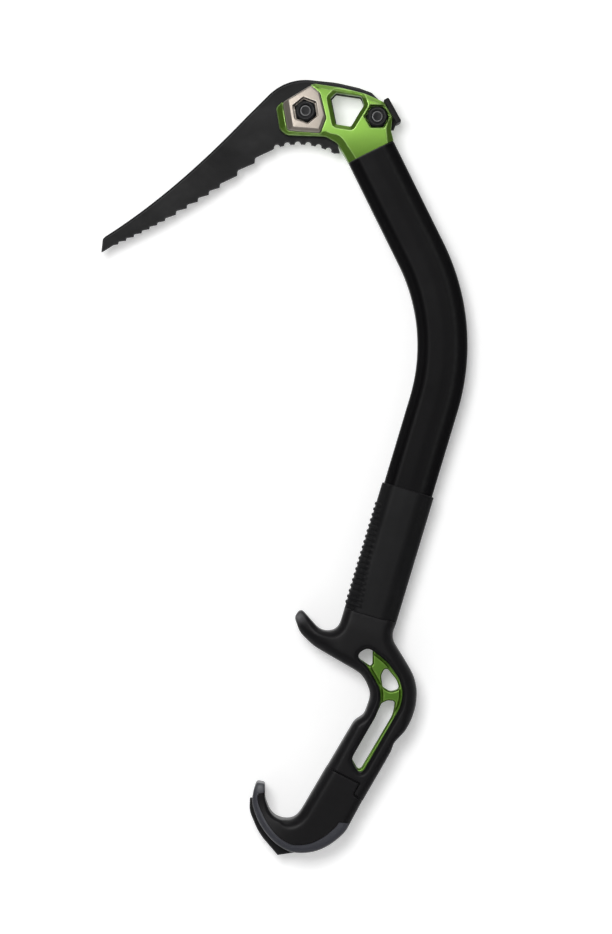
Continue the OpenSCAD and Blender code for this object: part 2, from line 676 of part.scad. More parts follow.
module handle_overmold() {
    color("black") difference() {
        soft_plate(handle_corners, -handle_t / 2, handle_t / 2, edge_steps);
        slab(far) polygon(outline(recess_corners));
        core_body(fit);
    }
}
module pommel() {
    color("black") difference() {
        soft_plate(pommel_corners, -handle_t / 2, handle_t / 2, edge_steps);
        core_body(fit);
        slab(spike_t + 2 * fit) spike_flat(fit);
    }
}
module pommel_bumper() {
    color("darkslategray") difference() {
        soft_plate(bumper_corners, -handle_t / 2, handle_t / 2, edge_steps);
        slab(spike_t + 2 * fit) spike_flat(fit);
    }
}
module spike() {
    color("dimgray") difference() {
        slab(spike_t) spike_flat(0);
        rivet_holes(pin_fit);
    }
}
module rivet(at) {
    color("silver") translate(at) cylinder(d = rivet_d, h = core_t, center = true);
}

upright() at_head() pick();
upright() at_head() head_forging();
upright() at_head() pick_weight_near();
upright() at_head() pick_weight_far();
upright() at_head() micro_hammer();
upright() at_head() lock_nut(front_at, weight_face, front_turn);  // front_nut
upright() at_head() nut_insert(front_at, weight_face);  // front_nut_insert
upright() at_head() washer(front_at, weight_face);  // front_washer
upright() at_head() bolt(front_at, weight_face);  // front_bolt
upright() at_head() lock_nut(rear_at, head_face, rear_turn);  // rear_nut
upright() at_head() nut_insert(rear_at, head_face);  // rear_nut_insert
upright() at_head() washer(rear_at, head_face);  // rear_washer
upright() at_head() bolt(rear_at, head_face);  // rear_bolt
upright() shaft();
upright() grip_sleeve();
upright() handle_core();
upright() handle_overmold();
upright() handle_pin_upper();
upright() handle_pin_lower();
upright() pommel();
upright() pommel_bumper();
upright() spike();
upright() rivet(rivet_upper);  // spike_rivet_upper
upright() rivet(rivet_lower);  // spike_rivet_lower
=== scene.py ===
"""Looks of an ice climbing tool, dressed round its packed construction model.

Drawing coordinates are millimetres: x to the right and y up as the tool is seen from its near side, z towards
the viewer. They become metres in the shared frame as (x, -z, y) / 1000.
"""

import logging
import math
from dataclasses import dataclass
from enum import Enum
from typing import Callable, Optional, Sequence, Union

import bpy
import numpy as np
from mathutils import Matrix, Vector
from mathutils.geometry import delaunay_2d_cdt


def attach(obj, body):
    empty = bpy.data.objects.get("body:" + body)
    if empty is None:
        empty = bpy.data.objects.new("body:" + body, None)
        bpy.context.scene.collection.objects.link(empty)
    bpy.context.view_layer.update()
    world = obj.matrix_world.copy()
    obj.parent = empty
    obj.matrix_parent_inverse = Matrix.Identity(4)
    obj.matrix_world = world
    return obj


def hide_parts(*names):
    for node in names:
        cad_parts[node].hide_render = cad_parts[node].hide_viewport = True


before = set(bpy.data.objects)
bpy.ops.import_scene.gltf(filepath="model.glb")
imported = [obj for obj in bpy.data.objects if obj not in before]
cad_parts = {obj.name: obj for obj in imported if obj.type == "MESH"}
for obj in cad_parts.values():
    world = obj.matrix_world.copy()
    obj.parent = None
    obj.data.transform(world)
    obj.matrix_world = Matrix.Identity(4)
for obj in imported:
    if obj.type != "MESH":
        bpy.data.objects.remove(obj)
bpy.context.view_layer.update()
LOG = logging.getLogger("ice_tool")

Corner = tuple[float, ...]
Colour = tuple[float, float, float]
Curve = Callable[[np.ndarray], np.ndarray]
Height = Union[float, Curve]
Socket = bpy.types.NodeSocket
# Angles of the rows of points on a round edge, and the rows beside the two lines of a bevel
ROUND_ROWS = np.radians((14, 27, 39, 51, 62, 72, 81, 90))
BEVEL_ROWS = (-0.4, -0.2, 0.0, 0.2, 0.45, 0.8)
# Width of the roll at a bevel's outer line, and how far its inner line is eased
BEVEL_ROLL = 0.3
BEVEL_EASE = 0.012
# Longest part of an array of distances that is worked out at once
CHUNK = 1500


class Edge(Enum):
    """How the edge of a plate is worked."""

    ROUND = "round"
    BEVEL = "bevel"
    SHARP = "sharp"


class Ends(Enum):
    """How the first and last row of a turned surface are closed."""

    RING = "ring"
    POLES = "poles"


def unit(v: np.ndarray) -> np.ndarray:
    """Returns the vectors in the last axis at length one."""
    return v / np.maximum(np.linalg.norm(v, axis=-1, keepdims=True), 1e-12)


def smooth(t: np.ndarray) -> np.ndarray:
    """Returns the smooth step 3t^2 - 2t^3 of t, held between 0 and 1."""
    t = np.clip(t, 0.0, 1.0)
    return t * t * (3.0 - 2.0 * t)


def bell(gap: np.ndarray, spread: Union[float, np.ndarray]) -> np.ndarray:
    """Returns the bell curve exp(-(gap / spread)^2)."""
    return np.exp(-(gap / spread) ** 2)


def eased_ramp(t: np.ndarray, ease: float) -> np.ndarray:
    """Returns max(t, 0) with its corner rounded to a hyperbola."""
    return 0.5 * (t + np.sqrt(t * t + ease))


def edge_rows(width: float) -> np.ndarray:
    """Returns the distances of the rows of points in a round edge and in a bevel of one width."""
    return np.r_[width * (1.0 - np.cos(ROUND_ROWS)), width + np.array(BEVEL_ROWS)]


@dataclass
class Loop:
    """Closed outline: points, width of the worked edge at each, and whether the side after each is worked."""

    points: np.ndarray
    width: np.ndarray
    soft: np.ndarray

    @classmethod
    def of(cls, corners: Sequence[Corner], pitch: float = 0.9, shift: Sequence[float] = (0.0, 0.0)) -> "Loop":
        """Rounds each corner by the circle that touches both its sides, then divides long sides evenly.

        Args:
            corners: Rows of x, y, corner radius, edge width and a 1 where the side after it is a cut end.
            pitch: Longest step along the outline.
            shift: Where the outline's own origin lies in the drawing.

        Returns:
            The outline.
        """
        table = cls.stepped(np.array([(tuple(c) + (0.0,) * 5)[:5] for c in corners], float))
        table[:, :2] += np.asarray(shift, float)
        count = len(table)
        points, width, cut = [], [], []
        for i, (x, y, radius, edge, flat) in enumerate(table):
            here = np.array((x, y))
            back, ahead = table[i - 1, :2] - here, table[(i + 1) % count, :2] - here
            a, b = unit(back), unit(ahead)
            half = 0.5 * math.acos(float(np.clip(a @ b, -1.0, 1.0)))
            if radius <= 0.0 or half > 1.565:
                arc = here[None]
            else:
                reach = min(radius / math.tan(half), 0.49 * min(np.linalg.norm(back), np.linalg.norm(ahead)))
                r = reach * math.tan(half)
                middle = here + unit(a + b) * r / math.sin(half)
                start = here + a * reach - middle
                turn = math.copysign(math.pi - 2.0 * half, b[0] * a[1] - b[1] * a[0])
                t = np.linspace(0.0, turn, 1 + max(3, math.ceil(abs(turn) * r / pitch), math.ceil(abs(turn) / 0.2)))
                arc = middle + np.stack((start[0] * np.cos(t) - start[1] * np.sin(t),
                                         start[0] * np.sin(t) + start[1] * np.cos(t)), 1)
            points.append(arc)
            width.append(np.full(len(arc), edge))
            cut.append(np.r_[np.full(len(arc) - 1, flat * table[i - 1, 4]), flat])
        p, w, f = np.concatenate(points), np.concatenate(width), np.concatenate(cut)
        q, v = np.roll(p, -1, 0), np.roll(w, -1)
        steps = np.maximum(1, np.ceil(np.linalg.norm(q - p, axis=1) / pitch)).astype(int)
        index = np.repeat(np.arange(len(p)), steps)
        share = (np.arange(steps.sum()) - np.repeat(np.cumsum(steps) - steps, steps)) / steps[index]
        return cls(p[index] + share[:, None] * (q - p)[index], w[index] + share * (v - w)[index], f[index] == 0)

    @staticmethod
    def stepped(table: np.ndarray) -> np.ndarray:
        """Puts points on each cut side where the edge of the worked side beside it falls: at its own rows.

        Args:
            table: Rows of x, y, corner radius, edge width and cut mark.

        Returns:
            The rows with the added ones.
        """
        rows = []
        for i, here in enumerate(table):
            rows.append(here)
            ahead = table[(i + 1) % len(table)]
            if not here[4] or here[2] > 0.0 or ahead[2] > 0.0:
                continue
            size = np.linalg.norm(ahead[:2] - here[:2])
            share = np.zeros(0)
            if not table[i - 1, 4]:
                share = edge_rows(here[3]) / size
            if not ahead[4]:
                share = np.r_[share, 1.0 - edge_rows(ahead[3]) / size]
            share = np.unique(np.round(share[(share > 0.1 / size) & (share < 1.0 - 0.1 / size)], 3))
            for at in here + share[:, None] * (ahead - here):
                rows.append(np.r_[at[:2], 0.0, at[3], 1.0])
        return np.array(rows)

    @classmethod
    def ring(cls, centre: Sequence[float], radius: float, edge: float, sides: int = 64, turn: float = 0.0) -> "Loop":
        """Regular polygon round a centre, with long sides divided.

        Args:
            centre: Middle of the polygon.
            radius: Distance of its corners.
            edge: Width of its worked edge.
            sides: Number of its sides.
            turn: Angle of its first corner in degrees.

        Returns:
            The outline.
        """
        t = np.radians(turn) + 2.0 * np.pi * np.arange(sides) / sides
        return cls.of([(centre[0] + radius * math.cos(a), centre[1] + radius * math.sin(a), 0.0, edge) for a in t], 1.2)

    def eased(self, spread: float, grade: float = 0.45) -> "Loop":
        """Smooths the outline: each point becomes the mean of its neighbours under a bell curve along the outline.

        The bell is narrower where the edge is narrow and towards the ends of cut sides, which stay.

        Args:
            spread: Widest half width of the bell.
            grade: Its share of the edge width.

        Returns:
            The smoothed outline.
        """
        length = np.linalg.norm(np.roll(self.points, -1, 0) - self.points, axis=1)
        s = np.r_[0.0, np.cumsum(length)[:-1]]
        gap = np.abs(s[:, None] - s[None])
        gap = np.minimum(gap, length.sum() - gap)
        held = ~(self.soft & np.roll(self.soft, 1))
        half = np.minimum(spread, grade * self.width)
        if held.any():
            half = np.minimum(half, gap[:, held].min(1) / 3.0)
        share = np.exp(-0.5 * (gap / np.maximum(half, 1e-3)[:, None]) ** 2) * 0.5 * (length + np.roll(length, 1))[None]
        share /= share.sum(1, keepdims=True)
        return Loop(share @ self.points, share @ self.width, self.soft)

    def area(self) -> float:
        """Returns the signed area, positive where the outline runs counter-clockwise."""
        q = np.roll(self.points, -1, 0)
        return 0.5 * float(np.sum(self.points[:, 0] * q[:, 1] - self.points[:, 1] * q[:, 0]))

    def turned(self) -> "Loop":
        """Returns the same outline run the other way round."""
        return Loop(self.points[::-1].copy(), self.width[::-1].copy(), np.roll(self.soft[::-1], -1))

    def normals(self) -> np.ndarray:
        """Returns the unit normals to the left of the outline, the middle of both sides at each point."""
        along = unit(np.roll(self.points, -1, 0) - self.points)
        mean = unit(along + np.roll(along, 1, 0))
        return np.stack((-mean[:, 1], mean[:, 0]), 1)

    def nearest(self, at: np.ndarray, soft_only: bool = True) -> tuple[np.ndarray, np.ndarray]:
        """Finds the closest side of the outline by projecting each place on every side.

        Args:
            at: Places, one row each.
            soft_only: Leaves out the sides that are cut ends.

        Returns:
            Distance to that side and the edge width there.
        """
        keep = self.soft if soft_only else np.ones(len(self.points), bool)
        if not keep.any():
            return np.full(len(at), 1e6), np.ones(len(at))
        a, b = self.points[keep], np.roll(self.points, -1, 0)[keep]
        w, v = self.width[keep], np.roll(self.width, -1)[keep]
        d = b - a
        size = np.maximum((d * d).sum(1), 1e-12)
        best, edge = np.empty(len(at)), np.empty(len(at))
        for start in range(0, len(at), CHUNK):
            part = at[start:start + CHUNK]
            t = np.clip(((part[:, None] - a) * d).sum(2) / size, 0.0, 1.0)
            gap = ((part[:, None] - a - t[:, :, None] * d) ** 2).sum(2)
            k = gap.argmin(1)
            rows = np.arange(len(part))
            best[start:start + CHUNK] = np.sqrt(gap[rows, k])
            edge[start:start + CHUNK] = w[k] + t[rows, k] * (v - w)[k]
        return best, edge


def grown(corners: Sequence[Corner], by: float) -> list[Corner]:
    """Moves every side of a counter-clockwise list of corners outwards, keeping mitred corners.

    Args:
        corners: Rows that start with x and y.
        by: Distance outwards.

    Returns:
        The moved rows.
    """
    p = np.array([c[:2] for c in corners], float)
    a, b = unit(p - np.roll(p, 1, 0)), unit(np.roll(p, -1, 0) - p)
    m, n = np.stack((a[:, 1], -a[:, 0]), 1), np.stack((b[:, 1], -b[:, 0]), 1)
    q = p + by * (m + n) / (1.0 + (m * n).sum(1, keepdims=True))
    return [tuple(xy) + tuple(c[2:]) for xy, c in zip(q, corners)]


def inside(at: np.ndarray, loops: Sequence[Loop]) -> np.ndarray:
    """Counts how often a ray to the right crosses the outlines; an odd count lies inside.

    Args:
        at: Places, one row each.
        loops: Outer outline and openings.

    Returns:
        True where a place lies in the material.
    """
    a = np.concatenate([k.points for k in loops])
    b = np.concatenate([np.roll(k.points, -1, 0) for k in loops])
    odd = np.zeros(len(at), bool)
    slope = (b[:, 0] - a[:, 0]) / np.where(b[:, 1] == a[:, 1], 1e-12, b[:, 1] - a[:, 1])
    for start in range(0, len(at), CHUNK):
        x, y = at[start:start + CHUNK, :1], at[start:start + CHUNK, 1:]
        hit = ((a[:, 1] > y) != (b[:, 1] > y)) & (x < a[:, 0] + (y - a[:, 1]) * slope)
        odd[start:start + CHUNK] = hit.sum(1) % 2 == 1
    return odd


@dataclass
class Form:
    """Triangles of one or more closed shells, with an edge mask at each point."""

    points: np.ndarray
    faces: np.ndarray
    rim: np.ndarray

    @classmethod
    def joined(cls, forms: Sequence["Form"]) -> "Form":
        """Returns several forms as one."""
        starts = np.cumsum([0] + [len(f.points) for f in forms[:-1]])
        return cls(np.concatenate([f.points for f in forms]),
                   np.concatenate([f.faces + s for f, s in zip(forms, starts)]),
                   np.concatenate([f.rim for f in forms]))

    def outward(self) -> "Form":
        """Turns the faces so that the enclosed volume, the sum of signed tetrahedra, is positive."""
        a, b, c = (self.points[self.faces[:, k]] for k in range(3))
        if float(np.einsum("ij,ij->i", a, np.cross(b, c)).sum()) < 0.0:
            self.faces = self.faces[:, ::-1]
        return self

    def flipped(self) -> "Form":
        """Returns the mirror image on the far side of the tool's middle plane."""
        return Form(self.points * np.array((1.0, 1.0, -1.0)), self.faces[:, ::-1].copy(), self.rim.copy())


@dataclass
class Opening:
    """Hole through a plate and how its edge is worked."""

    loop: Loop
    edge: Edge = Edge.SHARP
    drop: float = 1.0


@dataclass
class Plate:
    """Plate whose edges fall away by their distance from the outline.

    With no bottom the plate is its own mirror image about the middle plane. The height at a place is the plateau
    less the depth of its worked edges there, joined by a fourth-power sum where two edges meet.
    """

    outer: Loop
    edge: Edge
    top: Height
    bottom: Optional[float] = None
    holes: Sequence[Opening] = ()
    grid: float = 3.0
    drop: float = 1.0
    guides: Sequence[tuple[Loop, Sequence[float]]] = ()

    @staticmethod
    def depth(edge: Edge, drop: float, d: np.ndarray, w: np.ndarray) -> np.ndarray:
        """Depth below the plateau at distance d from an edge of width w.

        A round edge is a quarter ellipse. A bevel falls evenly, eased at its inner line and rolled over outside.

        Args:
            edge: How the edge is worked.
            drop: Fall of a bevel for each unit of width, or height of a round edge over its width.
            d: Distances from the outline.
            w: Widths of the edge at the same places.

        Returns:
            The depths.
        """
        w = np.maximum(w, 1e-6)
        if edge is Edge.ROUND:
            return drop * (w - np.sqrt(np.maximum(w * w - np.maximum(w - d, 0.0) ** 2, 0.0)))
        if edge is Edge.BEVEL:
            roll = np.minimum(BEVEL_ROLL, 0.5 * w)
            return drop * eased_ramp(w - d, BEVEL_EASE) + np.maximum(roll - d, 0.0) ** 2 / roll
        return np.zeros_like(d)

    def rings(self, edge: Edge, loop: Loop) -> np.ndarray:
        """Distances of the rows of points beside an edge.

        Args:
            edge: How the edge is worked.
            loop: Its outline.

        Returns:
            One row of distances for each row of points, one column for each point of the outline.
        """
        w = loop.width
        if edge is Edge.ROUND:
            return w * (1.0 - np.cos(ROUND_ROWS))[:, None]
        if edge is Edge.BEVEL:
            roll = np.minimum(BEVEL_ROLL, 0.5 * w)
            rows = [roll * k for k in (0.35, 0.7, 1.1)] + [np.minimum(0.7, 0.45 * w), np.maximum(w - 0.8, 0.55 * w)]
            return np.stack(rows + [w + k for k in BEVEL_ROWS])
        return np.zeros((0, len(w)))

    def rim(self, edge: Edge, d: np.ndarray, w: np.ndarray) -> np.ndarray:
        """Mask of edge wear and painted highlight, high on the lines of an edge that rub first and catch light: bell
        curves round those lines.

        Args:
            edge: How the edge is worked.
            d: Distances from the outline.
            w: Widths of the edge at the same places.

        Returns:
            The mask, from 0 to 1.
        """
        if edge is Edge.ROUND:
            return 0.7 * bell(d - 0.29 * w, np.maximum(0.3 * w, 0.05))
        if edge is Edge.BEVEL:
            return np.maximum(bell(d - w - 0.05, 0.26), 0.8 * bell(d, 0.2))
        return np.zeros_like(d)

    def form(self) -> Form:
        """Builds the plate.

        Rows of points beside each edge and a staggered grid between them are joined by a constrained Delaunay
        triangulation, lifted by the height, closed below, and walled along every outline.

        Returns:
            The closed form.
        """
        outer = self.outer if self.outer.area() > 0 else self.outer.turned()
        holes = [h.loop.turned() if h.loop.area() > 0 else h.loop for h in self.holes]
        loops, edges = [outer] + holes, [self.edge] + [h.edge for h in self.holes]
        drops = [self.drop] + [h.drop for h in self.holes]
        border = np.concatenate([k.points for k in loops])
        extra = []
        for loop, edge in zip(loops, edges):
            both = loop.soft & np.roll(loop.soft, 1)
            for d in self.rings(edge, loop):
                use = both & (d > 0.05)
                at = (loop.points + loop.normals() * d[:, None])[use]
                true = loop.nearest(at)[0]
                extra.append(at[np.abs(true - d[use]) < 0.02 + 0.03 * d[use]])
        low, high = outer.points.min(0), outer.points.max(0)
        x, y = np.meshgrid(np.arange(low[0], high[0], self.grid), np.arange(low[1], high[1], self.grid * 0.866))
        x = x + 0.5 * self.grid * (np.arange(len(x)) % 2)[:, None]
        inner = np.stack((x.ravel(), y.ravel()), 1)
        for loop, edge in zip(loops, edges):
            d, w = loop.nearest(inner)
            inner = inner[d > (w if edge is not Edge.SHARP else 0.0) + 0.55 * self.grid]
            inner = inner[loop.nearest(inner, False)[0] > 0.5 * self.grid]
        extra += [inner] + [loop.points + loop.normals() * d for loop, rows in self.guides for d in rows]
        free = np.concatenate(extra)
        free = free[inside(free, loops)]
        for loop in loops:
            free = free[loop.nearest(free, False)[0] > 0.045]
        free = free[np.unique(np.round(free / 0.07).astype(int), axis=0, return_index=True)[1]]
        ends = np.cumsum([len(k.points) for k in loops])
        after = np.arange(len(border)) + 1
        after[ends - 1] = np.r_[0, ends[:-1]]
        sides = np.stack((np.arange(len(border)), after), 1)
        flat, _, faces, origin, _, _ = delaunay_2d_cdt(np.concatenate((border, free)).tolist(), sides.tolist(),
                                                       [], 0, 1e-6)
        flat = np.array([tuple(v) for v in flat])
        faces = np.array([f for f in faces if len(f) == 3], int)
        faces = faces[inside(flat[faces].mean(1), loops)]
        where = np.full(len(border) + len(free), -1)
        for k, source in enumerate(origin):
            where[source] = k
        depth, rim = np.zeros(len(flat)), np.zeros(len(flat))
        for loop, edge, drop in zip(loops, edges, drops):
            d, w = loop.nearest(flat)
            depth += self.depth(edge, drop, d, w) ** 4
            rim = np.maximum(rim, self.rim(edge, d, w))
        top = (self.top(flat) if callable(self.top) else self.top) - depth ** 0.25
        bottom = -top if self.bottom is None else np.full(len(flat), self.bottom)
        n = len(flat)
        a, b = where[sides[:, 0]], where[sides[:, 1]]
        walls = np.concatenate((np.stack((a + n, b + n, b), 1), np.stack((a + n, b, a), 1)))
        area = np.cross(flat[faces[:, 1]] - flat[faces[:, 0]], flat[faces[:, 2]] - flat[faces[:, 0]])
        faces = np.where((area < 0)[:, None], faces[:, ::-1], faces)
        return Form(np.concatenate((np.c_[flat, top], np.c_[flat, bottom])),
                    np.concatenate((faces, faces[:, ::-1] + n, walls)), np.concatenate((rim, rim)))


def grid_faces(rows: int, count: int, ends: Ends) -> np.ndarray:
    """Triangles of a grid of points whose rows close on themselves.

    Args:
        rows: Number of rows.
        count: Number of points in a row.
        ends: Joins the last row to the first, or closes both by fans to the two points that follow the grid.

    Returns:
        Rows of three point numbers.
    """
    j, i = np.meshgrid(np.arange(rows - (ends is Ends.POLES)), np.arange(count), indexing="ij")
    up, right = (j + 1) % rows, (i + 1) % count
    p, q, s, u = j * count + i, j * count + right, up * count + right, up * count + i
    faces = [np.stack((p, q, s), 2).reshape(-1, 3), np.stack((p, s, u), 2).reshape(-1, 3)]
    if ends is Ends.POLES:
        k, last, pole = np.arange(count), (rows - 1) * count, np.full(count, rows * count)
        after = (k + 1) % count
        faces += [np.stack((after, k, pole), 1), np.stack((last + k, last + after, pole + 1), 1)]
    return np.concatenate(faces)


def turned_form(centre: Sequence[float], rows: Sequence[tuple], ends: Ends, turn: float = 0.0, count: int = 96) -> Form:
    """Surface of rows round an axis: row j lies at radius r_j(angle) and height z_j(angle).

    Args:
        centre: Place of the axis in the drawing.
        rows: Radius and height of each row, as numbers or as functions of the angle from the turn, and any edge mask.
        ends: Joins the last row to the first, or closes both by a point on the axis.
        turn: Angle of the first column in degrees.
        count: Number of columns.

    Returns:
        The closed form.
    """
    t = 2.0 * np.pi * np.arange(count) / count

    def column(k: int) -> np.ndarray:
        """Returns the radii or the heights of all rows."""
        values = (row[k](t) if callable(row[k]) else row[k] for row in rows)
        return np.stack([np.broadcast_to(v, t.shape) for v in values]).astype(float)

    r, z = column(0), column(1)
    rim = np.repeat([row[2] if len(row) > 2 else 0.0 for row in rows], count)
    a = t + math.radians(turn)
    points = np.stack((centre[0] + r * np.cos(a), centre[1] + r * np.sin(a), z), 2).reshape(-1, 3)
    if ends is Ends.POLES:
        points = np.concatenate((points, ((*centre, z[0].mean()), (*centre, z[-1].mean()))))
        rim = np.r_[rim, 0.0, 0.0]
    return Form(points, grid_faces(len(rows), count, ends), rim).outward()


def hexagon(flats: float) -> Curve:
    """Returns the radius of a hexagon as a function of the angle from one of its corners."""
    return lambda t: 0.5 * flats / np.cos((t % (np.pi / 3.0)) - np.pi / 6.0)


class Sheet:
    """Short way to place and join nodes in one tree."""

    def __init__(self, tree: bpy.types.NodeTree) -> None:
        """Empties the tree."""
        self.tree = tree
        tree.nodes.clear()

    def add(self, kind: str, props: Optional[dict] = None, **inputs: object) -> bpy.types.Node:
        """Places a node.

        Args:
            kind: Node type without its ShaderNode prefix, or a group tree's name after "Group:".
            props: Settings of the node itself.
            inputs: Values or sockets for its inputs, by name with _ for a space, or as i0, i1 by place.

        Returns:
            The node.
        """
        if kind.startswith("Group:"):
            node = self.tree.nodes.new("ShaderNodeGroup")
            node.node_tree = bpy.data.node_groups[kind[6:]]
        else:
            node = self.tree.nodes.new(kind if kind.startswith("NodeGroup") else "ShaderNode" + kind)
        for key, value in (props or {}).items():
            setattr(node, key, value)
        for key, value in inputs.items():
            by_place = key[0] == "i" and key[1:].isdigit()
            socket = node.inputs[int(key[1:]) if by_place else key.replace("_", " ")]
            if isinstance(value, Socket):
                self.tree.links.new(value, socket)
            elif isinstance(value, tuple) and len(value) == 3 and socket.type == "RGBA":
                socket.default_value = value + (1.0,)
            else:
                socket.default_value = value
        return node

    @classmethod
    def material(cls, name: str) -> tuple["Sheet", bpy.types.Material]:
        """Makes a material without nodes.

        Args:
            name: Name of the material.

        Returns:
            Its sheet and the material.
        """
        made = bpy.data.materials.new(name)
        made.use_nodes = True
        return cls(made.node_tree), made

    def close(self, shader: bpy.types.Node, kind: str = "OutputMaterial") -> None:
        """Joins a shader to the output of the tree."""
        self.tree.links.new(shader.outputs[0], self.add(kind).inputs[0])

    def noise(self, place: Socket, scale: object, detail: float, roughness: float, distortion: float = 0.0) -> Socket:
        """Returns the value of a noise texture."""
        return self.add("TexNoise", None, Vector=place, Scale=scale, Detail=detail, Roughness=roughness,
                        Distortion=distortion).outputs[0]

    def math(self, operation: str, a: object, b: object = 0.0) -> Socket:
        """Returns the result of a Math node, held between 0 and 1 by its own clamp."""
        return self.add("Math", {"operation": operation, "use_clamp": True}, i0=a, i1=b).outputs[0]

    def span(self, value: Socket, low: float, high: float, to_low: float, to_high: float) -> Socket:
        """Returns a value carried from one span to another."""
        return self.add("MapRange", None, i0=value, i1=low, i2=high, i3=to_low, i4=to_high).outputs[0]

    def mix(self, factor: object, a: object, b: object) -> Socket:
        """Returns a colour between a and b."""
        return self.add("Mix", {"data_type": "RGBA"}, i0=factor, i6=a, i7=b).outputs[2]


class Effects:
    """Shader groups that several finishes share."""

    GRAIN = "fine_grain"
    WEAR = "edge_wear"
    SMUDGE = "handling_marks"

    @staticmethod
    def group(name: str, inputs: dict[str, float], outputs: Sequence[str]) -> tuple[Sheet, dict[str, Socket], Callable]:
        """Makes an empty group with named sockets.

        Args:
            name: Name of the group.
            inputs: Default of each input beside the place, which every group takes.
            outputs: Names of the values it puts out.

        Returns:
            Its sheet, its input sockets by name and a function that joins a value to an output.
        """
        tree = bpy.data.node_groups.new(name, "ShaderNodeTree")
        sheet = Sheet(tree)
        tree.interface.new_socket(name="Vector", in_out="INPUT", socket_type="NodeSocketVector")
        for key, value in inputs.items():
            socket = tree.interface.new_socket(name=key, in_out="INPUT", socket_type="NodeSocketFloat")
            socket.default_value = value
        for key in outputs:
            tree.interface.new_socket(name=key, in_out="OUTPUT", socket_type="NodeSocketFloat")
        source, out = sheet.add("NodeGroupInput"), sheet.add("NodeGroupOutput")

        def put(key: str, value: Socket) -> None:
            """Joins a value to an output of the group."""
            tree.links.new(value, out.inputs[key])

        return sheet, {key: source.outputs[key] for key in ("Vector", *inputs)}, put

    @classmethod
    def build(cls) -> None:
        """Builds every group once."""
        sheet, use, put = cls.group(cls.GRAIN, {"Scale": 2000.0, "Mottle Scale": 60.0}, ("Grain", "Mottle"))
        put("Grain", sheet.span(sheet.noise(use["Vector"], use["Scale"], 2.0, 0.6), 0.3, 0.7, 0.0, 1.0))
        put("Mottle", sheet.span(sheet.noise(use["Vector"], use["Mottle Scale"], 4.0, 0.55), 0.3, 0.7, 0.0, 1.0))

        # Edge mask broken by noise: it carries edge wear and a painted highlight along the edges.
        sheet, use, put = cls.group(cls.WEAR, {"Rim": 0.0, "Scale": 260.0, "Amount": 0.5}, ("Mask",))
        broken = sheet.span(sheet.noise(use["Vector"], use["Scale"], 5.0, 0.65), 0.25, 0.75, 0.45, 1.0)
        put("Mask", sheet.math("MULTIPLY", sheet.math("MULTIPLY", use["Rim"], broken), use["Amount"]))

        sheet, use, put = cls.group(cls.SMUDGE, {"Scale": 25.0}, ("Marks",))
        put("Marks", sheet.span(sheet.noise(use["Vector"], use["Scale"], 6.0, 0.7, 0.6), 0.35, 0.7, 0.0, 1.0))


@dataclass(frozen=True)
class Finish:
    """Surface finish of one of the tool's materials.

    The grain and the mottle are noise scales, the tone is the share by which they change the colour, the bump is
    the height of the grain in metres, the spread goes both ways from the roughness, and the wear and highlight
    share is how much of the edge colour shows on the masked edges: partly edge wear, partly a painted highlight.
    """

    name: str
    colour: Colour
    worn_and_highlight_colour: Colour
    metallic: float
    roughness: float
    specular: float = 0.5
    grain: float = 2000.0
    mottle: float = 60.0
    tone: float = 0.12
    bump: float = 10e-6
    spread: float = 0.1
    wear: float = 0.3
    coat: float = 0.0
    coat_roughness: float = 0.42

    def material(self) -> bpy.types.Material:
        """Makes the finish once: grain, mottle, and edge wear with a painted highlight on the masked edges, on one
        shader.

        Returns:
            The material.
        """
        if self.name in bpy.data.materials:
            return bpy.data.materials[self.name]
        sheet, made = Sheet.material(self.name)
        place = sheet.add("TexCoord").outputs["Object"]
        rim = sheet.add("Attribute", {"attribute_name": "rim"}).outputs["Fac"]
        noise = sheet.add("Group:" + Effects.GRAIN, None, Vector=place, Scale=self.grain, Mottle_Scale=self.mottle)
        grain, mottle = noise.outputs["Grain"], noise.outputs["Mottle"]
        # Edge colour on the masked edges: partly edge wear, partly a painted highlight along the edges.
        wear = sheet.add("Group:" + Effects.WEAR, None, Vector=place, Rim=rim, Amount=self.wear).outputs["Mask"]
        marks = sheet.add("Group:" + Effects.SMUDGE, None, Vector=place).outputs["Marks"]
        dark = tuple(c * (1.0 - self.tone) for c in self.colour)
        light = tuple(min(1.0, c * (1.0 + self.tone)) for c in self.colour)
        blend = sheet.math("ADD", sheet.math("MULTIPLY", grain, 0.5), sheet.math("MULTIPLY", mottle, 0.5))
        colour = sheet.mix(wear, sheet.mix(blend, dark, light), self.worn_and_highlight_colour)
        dull = sheet.math("ADD", sheet.math("MULTIPLY", marks, 0.6), sheet.math("MULTIPLY", grain, 0.4))
        rough = sheet.span(dull, 0.0, 1.0, self.roughness - self.spread, self.roughness + self.spread)
        bump = sheet.add("Bump", None, Strength=1.0, Distance=self.bump, Height=grain)
        sheet.close(sheet.add("BsdfPrincipled", None, Base_Color=colour, Roughness=rough, Metallic=self.metallic,
                              Specular_IOR_Level=self.specular, Normal=bump.outputs[0], Coat_Weight=self.coat,
                              Coat_Roughness=self.coat_roughness))
        return made


